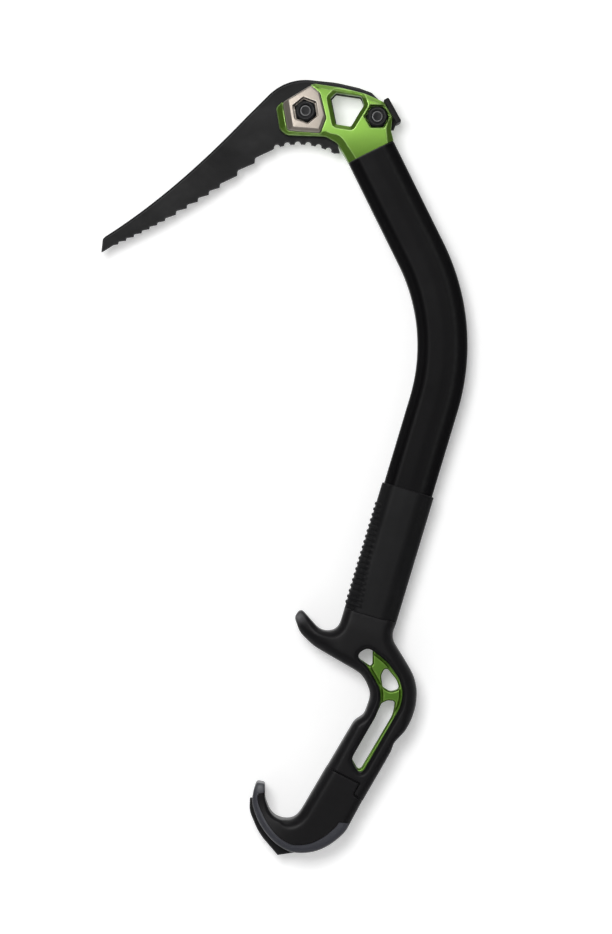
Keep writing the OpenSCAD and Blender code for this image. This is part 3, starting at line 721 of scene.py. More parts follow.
class Finishes:
    """The finishes of this tool."""

    PICK = Finish("dark_tool_steel", (0.0075, 0.0075, 0.0078), (0.10, 0.10, 0.105), metallic=0.15, roughness=0.48,
                  specular=0.09, grain=900.0, mottle=70.0, tone=0.25, bump=12e-6, spread=0.1, wear=0.5)
    GREEN = Finish("green_anodised", (0.086, 0.186, 0.0075), (0.34, 0.53, 0.16), metallic=0.85, roughness=0.44,
                   grain=2600.0, mottle=90.0, tone=0.08, bump=5e-6, spread=0.05, wear=0.85, coat=0.5)
    # A darker copy of the green anodising: painted shade for the core that lies deep in the handle's recess.
    SHADED_CORE_GREEN = Finish("green_core_painted_shade", (0.053, 0.129, 0.0045), (0.27, 0.46, 0.09), metallic=0.6, roughness=0.42,
                  specular=0.4, grain=2600.0, mottle=90.0, tone=0.08, bump=5e-6, spread=0.05, wear=0.8)
    WEIGHT = Finish("blasted_stainless", (0.26, 0.23, 0.198), (0.46, 0.43, 0.385), metallic=0.85, roughness=0.47,
                    grain=2400.0, mottle=80.0, bump=12e-6, spread=0.06, wear=0.5)
    BLACK_STEEL = Finish("black_oxide_steel", (0.006, 0.006, 0.0065), (0.46, 0.46, 0.465), metallic=0.3, roughness=0.36,
                         specular=0.08, grain=1800.0, mottle=120.0, tone=0.2, bump=8e-6, spread=0.08, wear=0.75)
    NYLON = Finish("dark_nylon", (0.007, 0.007, 0.008), (0.04, 0.04, 0.04), metallic=0.0, roughness=0.42,
                   specular=0.2, grain=1500.0, mottle=120.0, tone=0.15, spread=0.08, wear=0.2)
    SHAFT = Finish("black_anodised", (0.0036, 0.0034, 0.0039), (0.20, 0.205, 0.20), metallic=0.0, roughness=0.42,
                   specular=0.045, grain=2800.0, mottle=40.0, tone=0.2, bump=4e-6, spread=0.06, wear=0.5)
    SLEEVE = Finish("ribbed_rubber", (0.007, 0.007, 0.0075), (0.018, 0.018, 0.019), metallic=0.0, roughness=0.5,
                    specular=0.09, grain=1400.0, tone=0.2, bump=20e-6, spread=0.08)
    GRIP = Finish("moulded_grip", (0.0045, 0.0042, 0.0048), (0.16, 0.16, 0.165), metallic=0.0, roughness=0.40,
                  specular=0.10, grain=1700.0, tone=0.2, bump=12e-6, spread=0.05, wear=1.0)
    BUMPER = Finish("soft_bumper", (0.038, 0.039, 0.048), (0.16, 0.162, 0.17), metallic=0.0, roughness=0.40,
                    specular=0.2, grain=1500.0, mottle=80.0, tone=0.15, bump=15e-6, spread=0.08, wear=1.0)
    PIN = Finish("pin_steel", (0.45, 0.45, 0.46), (0.7, 0.7, 0.7), metallic=0.8, roughness=0.4,
                 grain=1500.0, mottle=80.0, tone=0.1, spread=0.08, wear=0.2)


def add_piece(name: str, form: Form, finish: Finish, body: str = "tool", nodes: Sequence[str] = (),
              crease: float = 38.0) -> bpy.types.Object:
    """Puts a form into the scene as one piece.

    Args:
        name: Name of the piece.
        form: Its triangles in drawing coordinates.
        finish: Its surface finish.
        body: Body that it rides on.
        nodes: Construction nodes that it stands for.
        crease: Angle in degrees above which an edge stays sharp.

    Returns:
        The object.
    """
    p = form.points
    mesh = bpy.data.meshes.new(name)
    mesh.from_pydata((np.stack((p[:, 0], -p[:, 2], p[:, 1]), 1) / 1000.0).tolist(), [], form.faces.tolist())
    mesh.attributes.new("rim", "FLOAT", "POINT").data.foreach_set("value", form.rim.astype(np.float32))
    mesh.validate()
    mesh.shade_smooth()
    mesh.set_sharp_from_angle(angle=math.radians(crease))
    mesh.materials.append(finish.material())
    piece = bpy.data.objects.new(name, mesh)
    bpy.context.scene.collection.objects.link(piece)
    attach(piece, body)
    if nodes:
        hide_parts(*nodes)
    LOG.info("%s: %d triangles on %s", name, len(form.faces), body)
    return piece


@dataclass
class ShaftPath:
    """Centre line of the shaft: straight, bend, straight."""

    foot: tuple[float, float] = (1.6, 81.7)
    lower: float = 141.5
    upper: float = 73.0
    radius: float = 132.0
    lean: float = math.radians(16.7)
    bend: float = math.radians(43.0)

    def at(self, s: np.ndarray) -> tuple[np.ndarray, np.ndarray]:
        """Follows the centre line, whose lean falls evenly with the length of the bend.

        Args:
            s: Lengths from the foot.

        Returns:
            Points on the line and unit vectors across it, towards the back.
        """
        arc = self.radius * self.bend
        turn = np.clip((s - self.lower) / self.radius, 0.0, self.bend)
        start = np.array(self.foot) + self.lower * np.array((math.sin(self.lean), math.cos(self.lean)))
        centre = start - self.radius * np.array((math.cos(self.lean), -math.sin(self.lean)))
        a = self.lean - turn
        across = np.stack((np.cos(a), -np.sin(a)), 1)
        along = np.stack((np.sin(a), np.cos(a)), 1)
        rest = np.where(s < self.lower, s - self.lower, np.maximum(s - self.lower - arc, 0.0))
        return centre + self.radius * across + rest[:, None] * along, across

    def length(self) -> float:
        """Returns the whole length of the centre line."""
        return self.lower + self.radius * self.bend + self.upper

    def head(self) -> np.ndarray:
        """Returns the middle of the joint between head and shaft."""
        return self.at(np.array((self.length(),)))[0][0]


PATH = ShaftPath()
HEAD = PATH.head()


@dataclass
class Shaft:
    """Bent tube and the ribbed sleeve on its lower end."""

    depth: float = 32.0
    thickness: float = 23.0
    front_bevel: float = 5.5
    back_bevel: float = 8.0
    bevel_drop: float = 5.5
    crown: float = 0.2
    full_bevel: float = 7.0
    crease_at: float = 7.8
    # Painted highlight along the tube's back crease: its strength in the edge mask and its half width.
    crease_highlight: float = 0.11
    crease_highlight_spread: float = 2.0
    end_gap: float = 0.04
    end_roll: float = 0.7
    sleeve_wall: float = 1.2
    sleeve_roll: float = 0.8
    sleeve_length: float = 84.0
    rib_count: int = 19
    rib_pitch: float = 3.65
    rib_width: float = 1.9
    rib_height: float = 0.8
    rib_start: float = 3.0
    rib_reach: tuple[float, float] = (8.0, 3.0)

    def section(self, pitch: float) -> Loop:
        """Outline of the tube across its length, x towards the back.

        Args:
            pitch: Longest step along the outline.

        Returns:
            The outline.
        """
        w, t = self.depth / 2.0, self.thickness / 2.0
        half = [(-w, self.bevel_drop - t, 4.0), (self.front_bevel - w, -t, 6.0), (0.0, -t - self.crown, 60.0),
                (w - self.back_bevel, -t, 8.0), (w, self.bevel_drop - t, 4.0)]
        return Loop.of(half + [(x, -y, r) for x, y, r in reversed(half)], pitch)

    @staticmethod
    def rolled_end(left: np.ndarray, radius: float) -> np.ndarray:
        """Returns how far a quarter circle draws a surface in at some lengths left before its end."""
        inner = np.maximum(0.0, radius - left)
        return radius - np.sqrt(np.maximum(radius ** 2 - inner ** 2, 0.0))

    @staticmethod
    def carried(section: Loop, s: np.ndarray, out: np.ndarray, rim: np.ndarray) -> Form:
        """Carries the section along the centre line, moved outwards by out[s, q] along its own normals.

        Args:
            section: Outline across the shaft.
            s: Lengths of the rows.
            out: Distance outwards for each row and each point of the section.
            rim: Edge mask of the same shape.

        Returns:
            The form, closed by a fan at each end.
        """
        line, across = PATH.at(s)
        q = section.points[None] - section.normals()[None] * out[:, :, None]
        points = np.concatenate((line[:, None] + q[:, :, :1] * across[:, None], q[:, :, 1:]), 2)
        ends = np.stack((np.r_[line[0], 0.0], np.r_[line[-1], 0.0]))
        return Form(np.concatenate((points.reshape(-1, 3), ends)), grid_faces(*out.shape, Ends.POLES),
                    np.r_[rim.ravel(), 0.0, 0.0]).outward()

    def tube(self) -> Form:
        """Builds the tube, with its upper end rolled in where it meets the head and a highlight painted along its
        crease.

        Returns:
            The tube.
        """
        section = self.section(0.8)
        end = PATH.length() - self.end_gap
        s = np.concatenate((np.linspace(0.0, PATH.lower, 30)[:-1], np.linspace(PATH.lower, end - 60.0, 70)[:-1],
                            np.linspace(end - 60.0, end - 2.0, 18), end - np.array((1.2, 0.7, 0.4, 0.2, 0.08, 0.0))))
        x = section.points[:, 0]
        out = -self.rolled_end(end - s, self.end_roll)[:, None] * np.ones(len(x))
        # Painted highlight along the crease, carried in the edge mask.
        crease = self.crease_highlight * bell(x - 0.5 * self.depth + self.crease_at, self.crease_highlight_spread)
        rim = np.maximum(bell(end - s - 0.25, 0.3)[:, None], crease[None])
        form = self.carried(section, s, out, rim)
        lift = smooth((s - self.sleeve_length) / 30.0)[:, None] * self.fuller(x)[None]
        form.points[:lift.size, 2] += np.sign(form.points[:lift.size, 2]) * lift.ravel()
        return form

    def fuller(self, x: np.ndarray) -> np.ndarray:
        """How much higher the tube stands above the sleeve, where its back bevel is narrower: the difference of both.

        Args:
            x: Places across the tube, towards the back.

        Returns:
            The heights.
        """
        def fall(width: float) -> np.ndarray:
            """Returns the depth of a bevel below the face: a straight line, eased at its inner end."""
            return self.bevel_drop / width * eased_ramp(x - 0.5 * self.depth + width, 0.8)

        return np.maximum(fall(self.back_bevel) - fall(self.full_bevel), 0.0)

    def sleeve(self) -> Form:
        """Builds the sleeve: round ribs on its front, fading out over the sides, and a rolled upper lip.

        Returns:
            The sleeve.
        """
        section = self.section(0.7)
        s = np.r_[0.0, np.arange(0.3, self.sleeve_length - 1.0, 0.3),
                  self.sleeve_length - np.array((1.0, 0.7, 0.45, 0.25, 0.1, 0.0))]
        place = (s - self.rib_start - 0.5 * self.rib_width) / self.rib_pitch
        near = np.clip(np.round(place), 0, self.rib_count - 1)
        wave = np.clip(1.0 - (np.abs(place - near) * self.rib_pitch / (0.5 * self.rib_width + 0.15)) ** 4, 0.0, 1.0)
        reach = self.rib_reach[0] + (self.rib_reach[1] - self.rib_reach[0]) * near / (self.rib_count - 1)
        x = section.points[:, 0] + 0.5 * self.depth
        fade = smooth((reach[:, None] - x[None]) / 1.2 + 0.5)
        ribs, left = wave[:, None] * fade, self.sleeve_length - s
        out = self.sleeve_wall - self.rolled_end(left, self.sleeve_roll)[:, None] + self.rib_height * ribs
        # Rib tops and the rolled lip take the edge colour: edge wear and a painted highlight.
        rim = np.maximum(0.8 * ribs, bell(left - 0.25, 0.3)[:, None])
        return self.carried(section, s, out, rim)

    def build(self) -> None:
        """Adds both pieces."""
        add_piece("shaft_tube", self.tube(), Finishes.SHAFT, nodes=("shaft",))
        add_piece("ribbed_sleeve", self.sleeve(), Finishes.SLEEVE, nodes=("grip_sleeve",))


@dataclass
class Head:
    """Forged fork, its two weights and the small hammer."""

    face: float = 12.5
    seat: float = 6.0
    slot: float = 2.1
    weight_face: float = 16.0
    bevel: float = 2.4
    bevel_drop: float = 0.55
    nose: float = 4.0
    crown: float = 1.3
    crown_at: tuple[float, float] = (-12.0, 20.0)
    crown_reach: tuple[float, float] = (46.0, 22.0)
    neck_fall: float = 0.0025
    neck_top: float = 15.0
    neck_lean: float = math.radians(26.3)
    neck_half: float = 16.0
    window_bevel: float = 2.6
    weight_sides: tuple[float, ...] = (0.7, 3.9, 2.3, 1.8, 0.9, 0.7)
    weight_dome: float = 0.003
    front_at: tuple[float, float] = (-42.1, 25.5)
    rear_at: tuple[float, float] = (3.9, 22.1)
    front_turn: float = 39.0
    bore: float = 4.5
    front_flats: float = 15.2
    rear_flats: float = 14.4
    recess_depth: float = 7.9
    sink_radius: float = 7.3
    sink_depth: float = 7.1
    window: Sequence[Corner] = ((-22.5, 37.5, 1.5), (-26.0, 33.9, 1.5), (-22.7, 17.2, 1.5), (-12.9, 15.6, 1.5),
                                (-4.4, 29.6, 1.5), (-6.2, 35.1, 1.5))
    weight: Sequence[Corner] = ((-38.6, 41.7, 1.5), (-56.5, 30.9, 2.2), (-53.6, 13.2, 2.2), (-32.7, 11.5, 2.2),
                                (-29.1, 21.0, 2.5), (-33.0, 36.8, 2.5))

    hammer_at: tuple[float, float] = (13.7, 26.1)
    hammer_halves: tuple[float, float] = (8.75, 1.85)
    hammer_lean: float = math.radians(-61.0)
    hammer_stem: Sequence[Corner] = ((-6.4, 27.2, 2.0), (-10.7, 20.0, 2.0), (-2.1, 15.1, 2.0), (3.9, 14.1, 2.0),
                                     (14.6, 14.1, 0.0), (17.09, 19.98, 0.0), (10.31, 32.22, 0.0), (3.9, 30.1, 2.0))

    def back_edge(self) -> list[Corner]:
        """Part of the outline that all layers share.

        Returns:
            Corners from the nose's underside round the back to the top.
        """
        b, sx, sy = self.bevel, self.neck_half * math.cos(self.neck_lean), self.neck_half * math.sin(self.neck_lean)
        return [(-29.1, 9.6, 9.0, 2.9), (-21.5, 5.3, 9.0, 4.4), (-sx, -sy, 0.0, 5.2, 1), (sx, sy, 0.0, 4.2),
                (12.7, 13.3, 8.0, 3.2), (13.6, 21.7, 5.0, b), (8.0, 31.5, 4.0, b), (-4.2, 36.9, 20.0, b),
                (-19.2, 40.6, 30.0, b), (-36.3, 43.3, 3.0, b)]

    def crowned(self, at: np.ndarray) -> np.ndarray:
        """Height of the face, which falls with the square of the distance from its middle, and more at the neck.

        Args:
            at: Places in the drawing.

        Returns:
            The heights.
        """
        neck = np.maximum(HEAD[1] + self.neck_top - at[:, 1], 0.0)
        away = (at - HEAD - np.array(self.crown_at)) / np.array(self.crown_reach)
        return self.face - self.crown * (away ** 2).sum(1) - self.neck_fall * neck ** 2

    def cheek(self, near: bool) -> Form:
        """Builds one cheek as a stack of layers: bored floor, floor of the recess, and the bevelled outer layer.

        Args:
            near: True for the side with the hexagonal recess.

        Returns:
            The cheek on the near side, or mirrored on the far side.
        """
        n = self.nose
        nose = [(-60.9, 28.2, 4.5, n), (-58.6, 13.8, 5.0, n), (-53.9, 10.5, 5.0, n)]
        full = Loop.of([(-56.6, 31.2, 4.0, n)] + nose + self.back_edge(), 0.9, HEAD)
        pocket = grown(self.weight, 0.2)
        inner = [(x, y, r, 0.35) for x, y, r in reversed(pocket[1:])]
        thin = [(x, y, r, 0.3) for x, y, r, _ in nose]
        outer = [(-38.9, 42.1, 0.4, 0.35), *inner, (-57.2, 31.4, 0.3, 0.3), *thin, *self.back_edge()]
        low = (full.points[:, 0] < HEAD[0] - 27.0) & (full.points[:, 1] < HEAD[1] + 32.0)
        nose_line = Loop(full.points, full.width, full.soft & low)

        def sloped(at: np.ndarray) -> np.ndarray:
            """Height of the crowned face, less the nose's bevel, which reaches in to the weight and fades behind it."""
            fade = smooth((HEAD[0] - 29.0 - at[:, 0]) / 6.0)
            return self.crowned(at) - fade * Plate.depth(Edge.BEVEL, self.bevel_drop, *nose_line.nearest(at))

        window = Loop.of(self.window, 0.8, HEAD)
        wide = Loop(window.points, np.full(len(window.points), self.window_bevel), window.soft)
        front, rear = (Loop.ring(HEAD + at, self.bore, 0.3) for at in (self.front_at, self.rear_at))
        if near:
            sunk = Loop.ring(HEAD + self.rear_at, self.rear_flats / math.sqrt(3.0), 0.5, 6)
            floor = self.face - self.recess_depth
        else:
            sunk = Loop.ring(HEAD + self.rear_at, self.sink_radius, 0.5)
            floor = self.face - self.sink_depth
        holes = [Opening(window), Opening(front)]
        form = Form.joined((
            Plate(full, Edge.SHARP, floor, self.slot, holes + [Opening(rear)]).form(),
            Plate(full, Edge.SHARP, self.seat, floor, holes + [Opening(sunk)]).form(),
            Plate(Loop.of(outer, 0.8, HEAD), Edge.BEVEL, sloped, self.seat,
                  [Opening(wide, Edge.BEVEL, self.bevel_drop), Opening(sunk, Edge.BEVEL)],
                  drop=self.bevel_drop, guides=((nose_line, (0.5, 1.0, 1.7, 2.4, 3.1, 3.7)),)).form()))
        return form if near else form.flipped()

    def forging(self) -> Form:
        """Joins both cheeks by the solid neck behind the pick.

        Returns:
            The fork.
        """
        neck = [(-21.6, 5.4, 1.0), (-14.344, -7.089), (14.344, 7.089), (12.9, 13.4), (-9.5, 13.6), (-12.12, 16.9),
                (-12.9, 15.6), (-21.42, 17.0)]
        middle = Plate(Loop.of(neck, 2.0, HEAD), Edge.SHARP, self.slot, -self.slot).form()
        return Form.joined((self.cheek(True), self.cheek(False), middle))

    def weight_lines(self) -> tuple[np.ndarray, np.ndarray]:
        """Sides of a weight's outline.

        Returns:
            Its corners, and the unit normals of the sides after them, towards its inside.
        """
        p = HEAD + np.array([c[:2] for c in self.weight])
        along = unit(np.roll(p, -1, 0) - p)
        return p, np.stack((-along[:, 1], along[:, 0]), 1)

    def weight_inner(self) -> np.ndarray:
        """Outline of a weight's face: the sides moved inwards by the widths of their bevels.

        Returns:
            The corners where these lines meet.
        """
        p, n = self.weight_lines()
        w = np.array(self.weight_sides)
        both, widths = np.stack((np.roll(n, 1, 0), n), 1), np.stack((np.roll(w, 1), w), 1)
        return p + np.linalg.solve(both, widths[:, :, None])[:, :, 0]

    def weight_fall(self, at: np.ndarray) -> np.ndarray:
        """Depth of a weight's bevels: the deepest of six planes, each falling outwards from its side's inner line.

        Args:
            at: Places in the drawing.

        Returns:
            The depths.
        """
        p, n = self.weight_lines()
        fall = np.array(self.weight_sides) - ((at[:, None] - p) * n).sum(2)
        return (self.bevel_drop * eased_ramp(fall, BEVEL_EASE)).max(1)

    def weight_form(self, near: bool) -> Form:
        """Builds a weight in two layers: bored floor and bevelled body with the recess.

        Args:
            near: True for the side with the hexagonal recess.

        Returns:
            The weight on its own side.
        """
        loop = Loop.of([(*corner, 0.35) for corner in self.weight], 0.7, HEAD)
        middle, inner = HEAD + self.front_at, self.weight_inner()
        if near:
            sunk = Loop.ring(middle, self.front_flats / math.sqrt(3.0), 0.25, 6, self.front_turn)
            floor = self.weight_face - self.recess_depth
        else:
            sunk = Loop.ring(middle, self.sink_radius, 0.45)
            floor = self.weight_face - self.sink_depth
        ridge = Loop.of([(*q, 0.0, 1.0) for q in inner], 0.6)
        t, corners = np.linspace(0.0, 1.0, 9)[:, None], self.weight_lines()[0]
        mitres = [Loop((1.0 - t) * p + t * q, np.ones(9), np.ones(9, bool)) for p, q in zip(corners, inner)]

        def domed(at: np.ndarray) -> np.ndarray:
            """Returns the height of the face, a shallow dome, less its bevels."""
            return self.weight_face - self.weight_dome * ((at - middle) ** 2).sum(1) - self.weight_fall(at)

        body = Plate(loop, Edge.BEVEL, domed, floor, [Opening(sunk, Edge.BEVEL)], drop=self.bevel_drop,
                     guides=[(ridge, (-0.3, -0.12, 0.12, 0.3))] + [(m, (-0.12, 0.12)) for m in mitres]).form()
        # Bright line along the face's edge: edge wear and a painted highlight.
        body.rim = np.maximum(body.rim, bell(ridge.nearest(body.points[:, :2])[0], 0.2))
        bored = Plate(loop, Edge.SHARP, floor, self.seat, [Opening(Loop.ring(middle, self.bore, 0.3))]).form()
        form = Form.joined((bored, body))
        return form if near else form.flipped()

    def hammer(self) -> Form:
        """Builds the hammer: a striking plate with rolled edges on a stem with an eye.

        Returns:
            The hammer.
        """
        stem = [(*c, 0.3) for c in self.hammer_stem]
        ax, ay = math.cos(self.hammer_lean), math.sin(self.hammer_lean)
        (x, y), (u, v) = self.hammer_at, self.hammer_halves
        corners = [(x + a * u * ax - b * v * ay, y + a * u * ay + b * v * ax, 0.9, 0.9)
                   for a, b in ((-1, -1), (1, -1), (1, 1), (-1, 1))]
        eye = Opening(Loop.ring(HEAD + self.rear_at, self.bore, 0.3))
        return Form.joined((Plate(Loop.of(stem, 0.9, HEAD), Edge.BEVEL, 2.0, None, [eye]).form(),
                            Plate(Loop.of(corners, 0.5, HEAD), Edge.ROUND, 9.0, None, grid=2.0).form()))

    def build(self) -> None:
        """Adds the forging, the weights and the hammer."""
        add_piece("head_fork", self.forging(), Finishes.GREEN, nodes=("head_forging",))
        for name, near in (("weight_near", True), ("weight_far", False)):
            add_piece(name, self.weight_form(near), Finishes.WEIGHT, nodes=("pick_" + name,))
        add_piece("hammer", self.hammer(), Finishes.PICK, nodes=("micro_hammer",))


@dataclass
class Pick:
    """Toothed steel plate."""

    half: float = 2.0
    tip_half: float = 1.6
    counts: tuple[int, int, int] = (6, 5, 3)
    pitches: tuple[float, float, float] = (5.0, 7.05, 11.25)
    depths: tuple[float, float, float] = (1.7, 2.5, 3.4)
    start: tuple[float, float] = (-162.5, -59.1)
    slope: float = 0.452
    curl: float = 0.00162
    gap_centre: tuple[float, float] = (-46.5, -42.8)
    gap_row: float = 47.9
    gap_radius: float = 1.95
    gap_span: tuple[float, float, int] = (106.8, 66.4, 6)
    spine_bevel: float = 1.3
    tooth_edge: float = 0.3
    arm: Sequence[Corner] = ((-19.9, -0.6, 0.3), (-21.4, 4.6, 0.8), (-22.05, 17.7, 0.5), (-25.2, 33.6, 1.0),
                             (-22.2, 36.75, 1.0), (-6.8, 34.5, 1.0), (-4.9, 31.0, 0.5), (6.2, 31.0, 0.3),
                             (6.6, 32.2, 0.5))
    hump: Sequence[Corner] = ((0.5, 38.3, 4.0, 1.0), (-7.5, 41.3, 12.0, 1.0), (-22.0, 44.7, 60.0, 1.0),
                              (-54.3, 48.1, 35.0, 1.3))
    tip: Sequence[Corner] = ((-172.4, -55.8, 0.6, 0.8), (-173.3, -64.5, 0.25, 0.3), (-165.6, -59.7, 0.5, 0.3))
    spine_curve: Sequence[Corner] = ((-170.7, -54.0), (-127.0, -26.5), (-80.0, 22.6))

    def teeth(self) -> list[Corner]:
        """Tooth points on a parabola at graded steps, each with a steep side and a round root.

        Returns:
            Corners from the tip towards the head.
        """
        group = np.repeat(np.arange(3), self.counts)
        s = np.r_[0.0, np.cumsum(np.array(self.pitches)[group])]
        tips = np.stack((self.start[0] + s, self.start[1] + self.slope * s + self.curl * s * s), 1)
        depth = np.array(self.depths)[np.r_[group[0], group]][:len(tips)]
        rows = []
        for (x, y), d in zip(tips[:-1], depth[:-1]):
            rows += [(x, y, 0.15, self.tooth_edge), (x + 0.3, y + d, d / 2.0, self.tooth_edge)]
        return rows + [(tips[-1][0], tips[-1][1], 0.3, self.tooth_edge)]

    def gaps(self) -> list[Corner]:
        """Row of round gaps along an arc: each notch is the part of its circle inside the row's own circle.

        Returns:
            Corners from the teeth towards the neck, all at the places centre + row * u(g) + r * u(a), where u is
            the unit vector at an angle; r is left out at both ends.
        """
        first, last, count = self.gap_span
        half = math.degrees(math.asin(self.gap_radius / (2.0 * self.gap_row)))
        g = np.linspace(first, last, count)
        a = np.linspace(g + 90.0 + half, g - 90.0 - half, 13, axis=1)
        g = np.r_[first + 2.5, np.repeat(g, 13), last - 5.0]
        a, r = np.r_[0.0, a.ravel(), 0.0], np.r_[0.0, np.full(13 * count, self.gap_radius), 0.0]
        g, a = np.radians(g), np.radians(a)
        x = self.gap_centre[0] + self.gap_row * np.cos(g) + r * np.cos(a)
        y = self.gap_centre[1] + self.gap_row * np.sin(g) + r * np.sin(a)
        return [(*xy, 0.0, self.tooth_edge) for xy in zip(x, y)]

    def spine(self) -> list[Corner]:
        """Upper edge as a quadratic curve.

        Returns:
            Corners from the hump to the tip.
        """
        t = np.linspace(1.0, 0.0, 50)[:, None]
        a, b, c = np.array(self.spine_curve)
        return [(x, y, 0.0, self.spine_bevel) for x, y in (1 - t) ** 2 * a + 2 * t * (1 - t) * b + t * t * c]

    def thickness(self, at: np.ndarray) -> np.ndarray:
        """Returns the half thickness, which thins smoothly towards the tip."""
        return self.half - (self.half - self.tip_half) * smooth((-115.0 + HEAD[0] - at[:, 0]) / 55.0)

    def build(self) -> None:
        """Adds the pick."""
        arm = [(*c, self.tooth_edge) for c in self.arm]
        loop = Loop.of([*arm, *self.hump, *self.spine(), *self.tip, *self.teeth(), *self.gaps()], 0.8, HEAD)
        bore = Opening(Loop.ring(HEAD + Head().front_at, Head().bore, 0.3))
        form = Plate(loop, Edge.BEVEL, self.thickness, None, [bore]).form()
        add_piece("pick_blade", form, Finishes.PICK, nodes=("pick",))


@dataclass
class Screws:
    """Bolt, washer, lock nut and nylon ring at one place of the head."""

    name: str
    at: tuple[float, float]
    face: float
    turn: float
    bolt: float = 4.0
    flats: float = 13.0
    nut_height: float = 6.2
    collar: float = 5.6
    collar_height: float = 1.3
    play: float = 0.05
    washer_radii: tuple[float, float] = (4.2, 7.0)
    washer_height: float = 1.6
    head_radius: float = 6.5
    head_height: float = 5.0
    socket: float = 5.0
    shank: float = 6.0
    thread_depth: float = 0.6
    thread_pitch: float = 1.25
    sink: float = 0.4
    recess: float = 7.9
    far_recess: float = 7.1

    def nut(self) -> Form:
        """Lock nut: a hexagon cut by a 30 degree cone above and below, with a rolled collar on top.

        Returns:
            The nut.
        """
        base, bore = self.face - self.recess, self.bolt + self.play
        top, hexed, c = base + self.nut_height, hexagon(self.flats), self.collar
        cone = 0.49 * self.flats

        def fall(t: np.ndarray) -> np.ndarray:
            """Returns the depth of the cone at the hexagon's edge."""
            return np.maximum(hexed(t) - cone, 0.0) * math.tan(math.radians(30.0))

        # The collar's top edge carries a bright ring in the edge mask: edge wear and a painted highlight.
        rows = [(bore, base), (cone, base), (hexed, lambda t: base + fall(t)), (hexed, lambda t: top - 0.25 - fall(t)),
                (lambda t: np.minimum(hexed(t), cone + 0.25), lambda t: top - 0.12 - 0.4 * fall(t)), (cone - 0.2, top),
                (c + 0.25, top), (c + 0.05, top + 0.15), (c, top + 0.45), (c, top + 0.85), (c - 0.12, top + 1.12, 0.05),
                (c - 0.35, top + self.collar_height, 0.4), (c - 0.6, top + 1.22, 0.05), (c - 0.7, top + 1.0),
                (c - 0.7, top), (bore, top)]
        return turned_form(HEAD + self.at, rows, Ends.RING, self.turn)

    def ring(self) -> Form:
        """Nylon ring with rounded edges inside the collar.

        Returns:
            The ring.
        """
        z, inner, outer = self.face - self.recess + self.nut_height, self.bolt + self.play, self.collar - 0.72
        rows = [(inner, z), (outer, z), (outer, z + 0.85), (outer - 0.1, z + 1.03), (outer - 0.25, z + 1.1),
                (inner + 0.25, z + 1.1), (inner + 0.08, z + 1.0), (inner, z + 0.8)]
        return turned_form(HEAD + self.at, rows, Ends.RING)

    def washer(self) -> Form:
        """Stamped washer, rolled over on its outer side.

        Returns:
            The washer.
        """
        high = self.far_recess - self.face - self.play
        low, (inner, outer) = high - self.washer_height, self.washer_radii
        rows = [(inner, low + 0.1), (inner + 0.15, low), (outer - 0.4, low), (outer - 0.12, low + 0.12),
                (outer, low + 0.45), (outer, high - 0.15), (outer - 0.15, high), (inner + 0.15, high),
                (inner, high - 0.1)]
        return turned_form(HEAD + self.at, rows, Ends.RING)

    def bolt_form(self) -> Form:
        """Socket-head bolt: hexagonal socket, knurled head, shank and a helical thread of triangular section.

        Returns:
            The bolt.
        """
        top, end = self.sink - self.face, self.face - self.sink - 0.6
        under, socket, r, head = top + self.head_height, hexagon(self.socket), self.bolt, self.head_radius
        start = under + self.shank

        def knurl(t: np.ndarray) -> np.ndarray:
            """Returns the radius of the knurled head."""
            return head - 0.09 * (1.0 - np.abs(np.cos(24.0 * t)))

        def thread(z: float) -> Curve:
            """Returns the radius of the thread at a height, a triangle wave that runs in from the shank."""
            depth = self.thread_depth * min(1.0, (z - start) / 2.5)
            return lambda t: r - depth * np.abs(2.0 * ((z / self.thread_pitch - t / (2.0 * np.pi)) % 1.0) - 1.0)

        rows = [(lambda t: 0.96 * socket(t), top + 3.0), (socket, top + 2.9), (socket, top + 0.35),
                (lambda t: np.maximum(socket(t), 2.95), top + 0.02), (3.2, top), (head - 0.8, top),
                (head - 0.4, top + 0.12), (head - 0.15, top + 0.4), (knurl, top + 0.75), (knurl, under - 0.3),
                (head - 0.15, under), (r + 0.5, under), (r + 0.1, under + 0.2), (r, under + 0.5), (r, start)]
        rows += [(thread(z), float(z)) for z in np.arange(start + 0.2, end - 0.75, 0.21)]
        # The bolt's end takes bright rings in the edge mask: edge wear and a painted highlight.
        rows += [(r - 0.5, end - 0.7, 0.3), (r - 0.75, end - 0.15, 1.0), (r - 1.0, end, 1.0), (r - 1.3, end),
                 (1.4, end - 0.1)]
        return turned_form(HEAD + self.at, rows, Ends.POLES, 30.0)

    def build(self) -> None:
        """Adds the four pieces, bolt and washer on their own bodies."""
        name, steel, nylon = self.name, Finishes.BLACK_STEEL, Finishes.NYLON
        washer, bolt = name + "_washer", name + "_bolt"
        add_piece(name + "_lock_nut", self.nut(), steel, nodes=(name + "_nut",), crease=28.0)
        add_piece(name + "_nylon_ring", self.ring(), nylon, nodes=(name + "_nut_insert",), crease=60.0)
        add_piece(washer + "_ring", self.washer(), steel, washer, (washer,))
        add_piece(bolt + "_screw", self.bolt_form(), steel, bolt, (bolt,))


